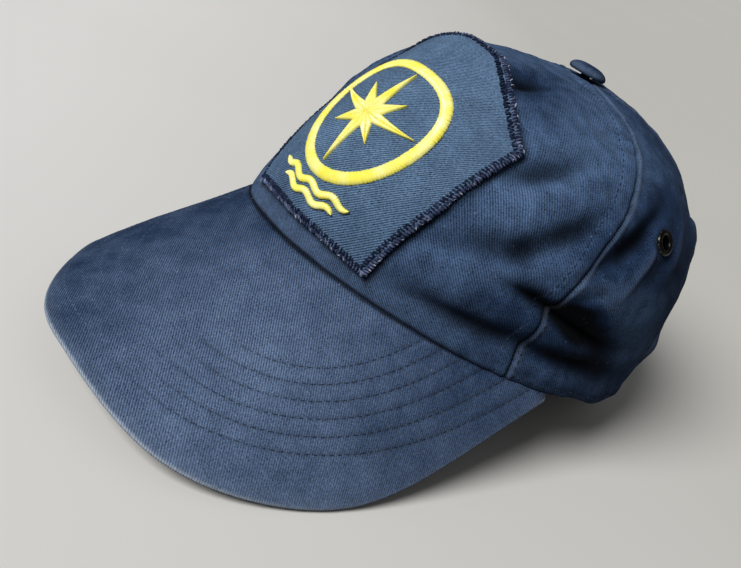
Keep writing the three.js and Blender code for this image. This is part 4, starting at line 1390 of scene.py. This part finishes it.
def across_border(row):
    profile, finish = OVERLOCK_THREADS[row.name.split("_")[0]]
    thread = thread_piece(row.name, profile, (0, -row.width * MM), row.radius * MM, OVERLOCK_ENDS)
    points, outward = (
        np.roll(along, row.rolled_by, axis=0) for along in border_line(row.inset * MM, row.height * MM)
    )
    return lay_threads(
        "patch_border_" + row.name, [line_of(points, outward, 1.0, True)], thread, finish,
        spacing=row.spacing * MM, seed=row.seed, **row.slants._asdict(),
    )


for border_piece in [roll_core()] + [across_border(row) for row in OVERLOCK]:
    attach(border_piece, "root")
    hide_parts("patch_border")

# Painted shadow on the front panel's cloth along the patch's edge
edge_line, _ = border_line(0.0, -PATCH_LIFT)
edge_tree = KDTree(len(edge_line))
for edge_number, edge_point in enumerate(edge_line):
    edge_tree.insert(edge_point, edge_number)
edge_tree.balance()
front_cloth = crown_pieces["crown_front"].data
for vertex, crease in zip(front_cloth.vertices, front_cloth.attributes["crease"].data):
    from_edge = edge_tree.find(vertex.co)[2]
    crease.value = max(crease.value, banded(from_edge, PATCH_EDGE_SHADOW))


# Embroidery. A generic compass star in a ring over two waves, in bright yellow satin stitch: threads
# laid side by side over padding, so that each facet catches the light its own way.
STITCHED_FROM = PATCH_LIFT + PATCH_THICKNESS + 0.25 * MM
SATIN_PROFILE = [
    (-0.5, -0.1), (-0.42, 0.42), (-0.22, 0.72), (0, 0.8), (0.22, 0.72), (0.42, 0.42), (0.5, -0.1),
]
SATIN_SPACING = 0.34 * MM
SATIN_RADIUS = 0.25 * MM
SATIN_ENDS = 0.8
SATIN_SLANT = 0.18
SATIN_CHANCE = 0.05
FIRST_SATIN_SEED = 31
STAR_ACROSS = 1 * MM
STAR_UP = 53 * MM
STAR_POINTS = 8
STAR_LONG = 21 * MM
STAR_SHORT = 13 * MM
STAR_WAIST = 5.5 * MM
STAR_STEPS = 40
STAR_MARGIN = 0.02
RING_INNER = 22 * MM
RING_OUTER = 26.5 * MM
RING_STEPS = 200
Wave = namedtuple("Wave", "name up half_length")
WAVES = [Wave("emblem_wave_1", 23.4 * MM, 19 * MM), Wave("emblem_wave_2", 19.5 * MM, 14 * MM)]
WAVE_WIDTH = 2.6 * MM
WAVE_HEIGHT = 0.9 * MM
WAVE_LENGTH = 11 * MM
WAVE_STEPS = 120
WAVE_END_POWER = 8
WAVE_END_LEAST = 0.02
YELLOW = (0.95, 0.86, 0.1, 1)
YELLOW_PALE = (1.0, 1.0, 0.62, 1)
YELLOW_CLOUD_SIZE = 6 * MM
YELLOW_CLOUD_FROM = 0.35
YELLOW_CLOUD_CONTRAST = 1.6
SATIN_STRAND_SIZE = 0.3 * MM
SATIN_RELIEF = 0.05 * MM
SATIN_RELIEF_STRENGTH = 0.4


def satin_finish():
    finish, root, shader = new_finish("yellow_thread")
    place = root.place()
    clouds = (root.lumps(place, YELLOW_CLOUD_SIZE) - YELLOW_CLOUD_FROM) * YELLOW_CLOUD_CONTRAST
    strands = root.lumps(place, SATIN_STRAND_SIZE)
    tint = clouds + (strands - 0.5)
    feed(root.blend(tint.clamped(), YELLOW, YELLOW_PALE), shader, "Base Color")
    set_constants(shader, {"Roughness": 0.36, "Specular IOR Level": 0.6})
    feed_relief(strands, shader, SATIN_RELIEF_STRENGTH, SATIN_RELIEF)
    return finish


def emblem_line(width, length, reach, closed=False):
    points, outward = patch_point(width, length, np.full_like(width, STITCHED_FROM))
    return line_of(points, outward, reach, closed)


# Each point of the star is two facets, sewn from its axis to the line from waist to tip
def star_lines():
    lines = []
    run = np.linspace(STAR_MARGIN, 1 - STAR_MARGIN, STAR_STEPS)[:, None]
    for point in range(STAR_POINTS):
        tip = STAR_LONG if point % 2 == 0 else STAR_SHORT
        angle = point / STAR_POINTS * TURN
        axis = np.array([math.sin(angle), math.cos(angle)])
        tip_at = axis * tip
        on_axis = run * tip_at
        for side in (-1, 1):
            waist_angle = angle + side * math.pi / STAR_POINTS
            waist = np.array([math.sin(waist_angle), math.cos(waist_angle)]) * STAR_WAIST
            waist_along = float(waist @ axis)
            below = waist * run * tip / waist_along
            above = lerp(waist, tip_at, (run * tip - waist_along) / (tip - waist_along))
            outer = np.where(run * tip < waist_along, below, above)
            middle = (on_axis + outer) / 2
            reach = np.linalg.norm(outer - on_axis, axis=-1)
            lines.append(emblem_line(STAR_ACROSS + middle[:, 0], STAR_UP + middle[:, 1], reach))
    return lines


def ring_line():
    angles = np.linspace(0, TURN, RING_STEPS, endpoint=False)
    radius = (RING_INNER + RING_OUTER) / 2
    width = STAR_ACROSS + radius * np.sin(angles)
    return [emblem_line(width, STAR_UP + radius * np.cos(angles), RING_OUTER - RING_INNER, True)]


def wave_line(wave):
    along = np.linspace(-wave.half_length, wave.half_length, WAVE_STEPS)
    length = wave.up + WAVE_HEIGHT * np.cos(along / WAVE_LENGTH * TURN)
    ends = 1 - (along / wave.half_length) ** WAVE_END_POWER
    reach = WAVE_WIDTH * np.sqrt(np.maximum(ends, WAVE_END_LEAST))
    return [emblem_line(STAR_ACROSS + along, length, reach)]


YELLOW_THREAD = satin_finish()
motifs = {"emblem_star": star_lines(), "emblem_ring": ring_line()}
motifs.update({wave.name: wave_line(wave) for wave in WAVES})
for motif_number, (motif, motif_lines) in enumerate(motifs.items()):
    satin = thread_piece("satin", SATIN_PROFILE, (0, 1), SATIN_RADIUS, SATIN_ENDS)
    threads = lay_threads(
        motif + "_satin", motif_lines, satin, YELLOW_THREAD, SATIN_SPACING,
        SATIN_CHANCE, SATIN_CHANCE, FIRST_SATIN_SEED + motif_number, SATIN_SLANT,
    )
    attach(threads, "root")
    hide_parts(motif)


# Studio. A pale floor under one broad soft light from above and a little in front, with a weak even
# fill, and the camera at the photograph's angle.
CAMERA_AZIMUTH = math.radians(40.392)
CAMERA_ELEVATION = math.radians(25.659)
CAMERA_ROLL = math.radians(23.091)
CAMERA_DISTANCE = 389.8 * MM
CAMERA_AIM = np.array([0, -30, 45]) * MM
CAMERA_ASIDE = -18.68 * MM
CAMERA_RAISED = -12.65 * MM
CAMERA_NEAREST = 10 * MM
FOCAL_PIXELS = 986.8
IMAGE_WIDTH = 741
SENSOR_WIDTH = 36
FLOOR_HALF = 14
FLOOR_LIT_LEFT = (0.745, 0.735, 0.71, 1)
FLOOR_SHADED_RIGHT = (0.54, 0.525, 0.49, 1)
FLOOR_SHADE_FROM = -0.18
FLOOR_SHADE_TO = 0.2
FLOOR_CLOUD = 0.3
FLOOR_CLOUD_SIZE = 0.3
FILL_COLOUR = (0.93, 0.96, 1, 1)
FILL_ABOVE = 0.14
FILL_BELOW = 0.02
FILL_FROM = -0.15
FILL_TO = 0.5
Lamp = namedtuple("Lamp", "name strength spread toward")
LAMPS = [
    Lamp("key_light", 3.6, 30, (0.02, -0.72, 0.68)),
    Lamp("side_light", 0.1, 60, (0.85, -0.1, 0.5)),
]

for lamp in LAMPS:
    lamp_data = bpy.data.lights.new(lamp.name, "SUN")
    lamp_data.energy = lamp.strength
    lamp_data.angle = math.radians(lamp.spread)
    light = bpy.data.objects.new(lamp.name, lamp_data)
    light.rotation_mode = "QUATERNION"
    light.rotation_quaternion = Vector(lamp.toward).to_track_quat("Z", "Y")
    bpy.context.scene.collection.objects.link(light)

world = bpy.data.worlds.new("fill")
world.use_nodes = True
sky = Wire(world.node_tree)
toward_sky = sky.add("ShaderNodeTexCoord", None, None, "Generated")
sky_height = sky.add("ShaderNodeSeparateXYZ", None, {0: toward_sky}, "Z")
sky_range = {"Value": sky_height, "From Min": FILL_FROM, "From Max": FILL_TO}
sky_share = sky.add("ShaderNodeMapRange", None, sky_range)
background = world.node_tree.nodes["Background"]
background.inputs["Color"].default_value = FILL_COLOUR
feed(sky_share * (FILL_ABOVE - FILL_BELOW) + FILL_BELOW, background, "Strength")
bpy.context.scene.world = world
bpy.context.scene.view_settings.view_transform = "Standard"

camera_back = np.array([
    math.sin(CAMERA_AZIMUTH) * math.cos(CAMERA_ELEVATION),
    -math.cos(CAMERA_AZIMUTH) * math.cos(CAMERA_ELEVATION),
    math.sin(CAMERA_ELEVATION),
])
level_right = np.array([math.cos(CAMERA_AZIMUTH), math.sin(CAMERA_AZIMUTH), 0])
level_up = np.cross(camera_back, level_right)
camera_right = math.cos(CAMERA_ROLL) * level_right + math.sin(CAMERA_ROLL) * level_up
camera_up = math.cos(CAMERA_ROLL) * level_up - math.sin(CAMERA_ROLL) * level_right
aim = CAMERA_AIM + ORIGIN + camera_right * CAMERA_ASIDE + camera_up * CAMERA_RAISED
eye = aim + camera_back * CAMERA_DISTANCE
camera_data = bpy.data.cameras.new("camera")
camera_data.sensor_fit = "HORIZONTAL"
camera_data.sensor_width = SENSOR_WIDTH
camera_data.lens = FOCAL_PIXELS * SENSOR_WIDTH / IMAGE_WIDTH
camera_data.clip_start = CAMERA_NEAREST
camera = bpy.data.objects.new("camera", camera_data)
placed = np.eye(4)
placed[:3, :4] = np.stack([camera_right, camera_up, camera_back, eye], axis=1)
camera.matrix_world = Matrix(placed.tolist())
bpy.context.scene.collection.objects.link(camera)
bpy.context.scene.camera = camera


# The floor is painted lighter on the left and darker to the right: painted light and shade across the
# floor
def floor_finish(rightward):
    finish, root, shader = new_finish("floor_paper")
    place = root.place()
    aside = {0: place, 1: tuple(rightward)}
    aside = root.add("ShaderNodeVectorMath", {"operation": "DOT_PRODUCT"}, aside, "Value")
    shade = {"Value": aside, "From Min": FLOOR_SHADE_FROM, "From Max": FLOOR_SHADE_TO}
    shade = root.add("ShaderNodeMapRange", None, shade)
    cloud = root.uneven(place, FLOOR_CLOUD_SIZE) * FLOOR_CLOUD
    feed(root.blend((shade + cloud).clamped(), FLOOR_LIT_LEFT, FLOOR_SHADED_RIGHT), shader, "Base Color")
    set_constants(shader, {"Roughness": 0.9, "Specular IOR Level": 0.1})
    return finish


corners = [(-FLOOR_HALF, -FLOOR_HALF, 0), (FLOOR_HALF, -FLOOR_HALF, 0)]
corners += [(FLOOR_HALF, FLOOR_HALF, 0), (-FLOOR_HALF, FLOOR_HALF, 0)]
floor = mesh_piece("floor", np.array(corners, float), [(0, 1, 2, 3)])
floor.data.materials.append(floor_finish(camera_right))
floor.visible_diffuse = False
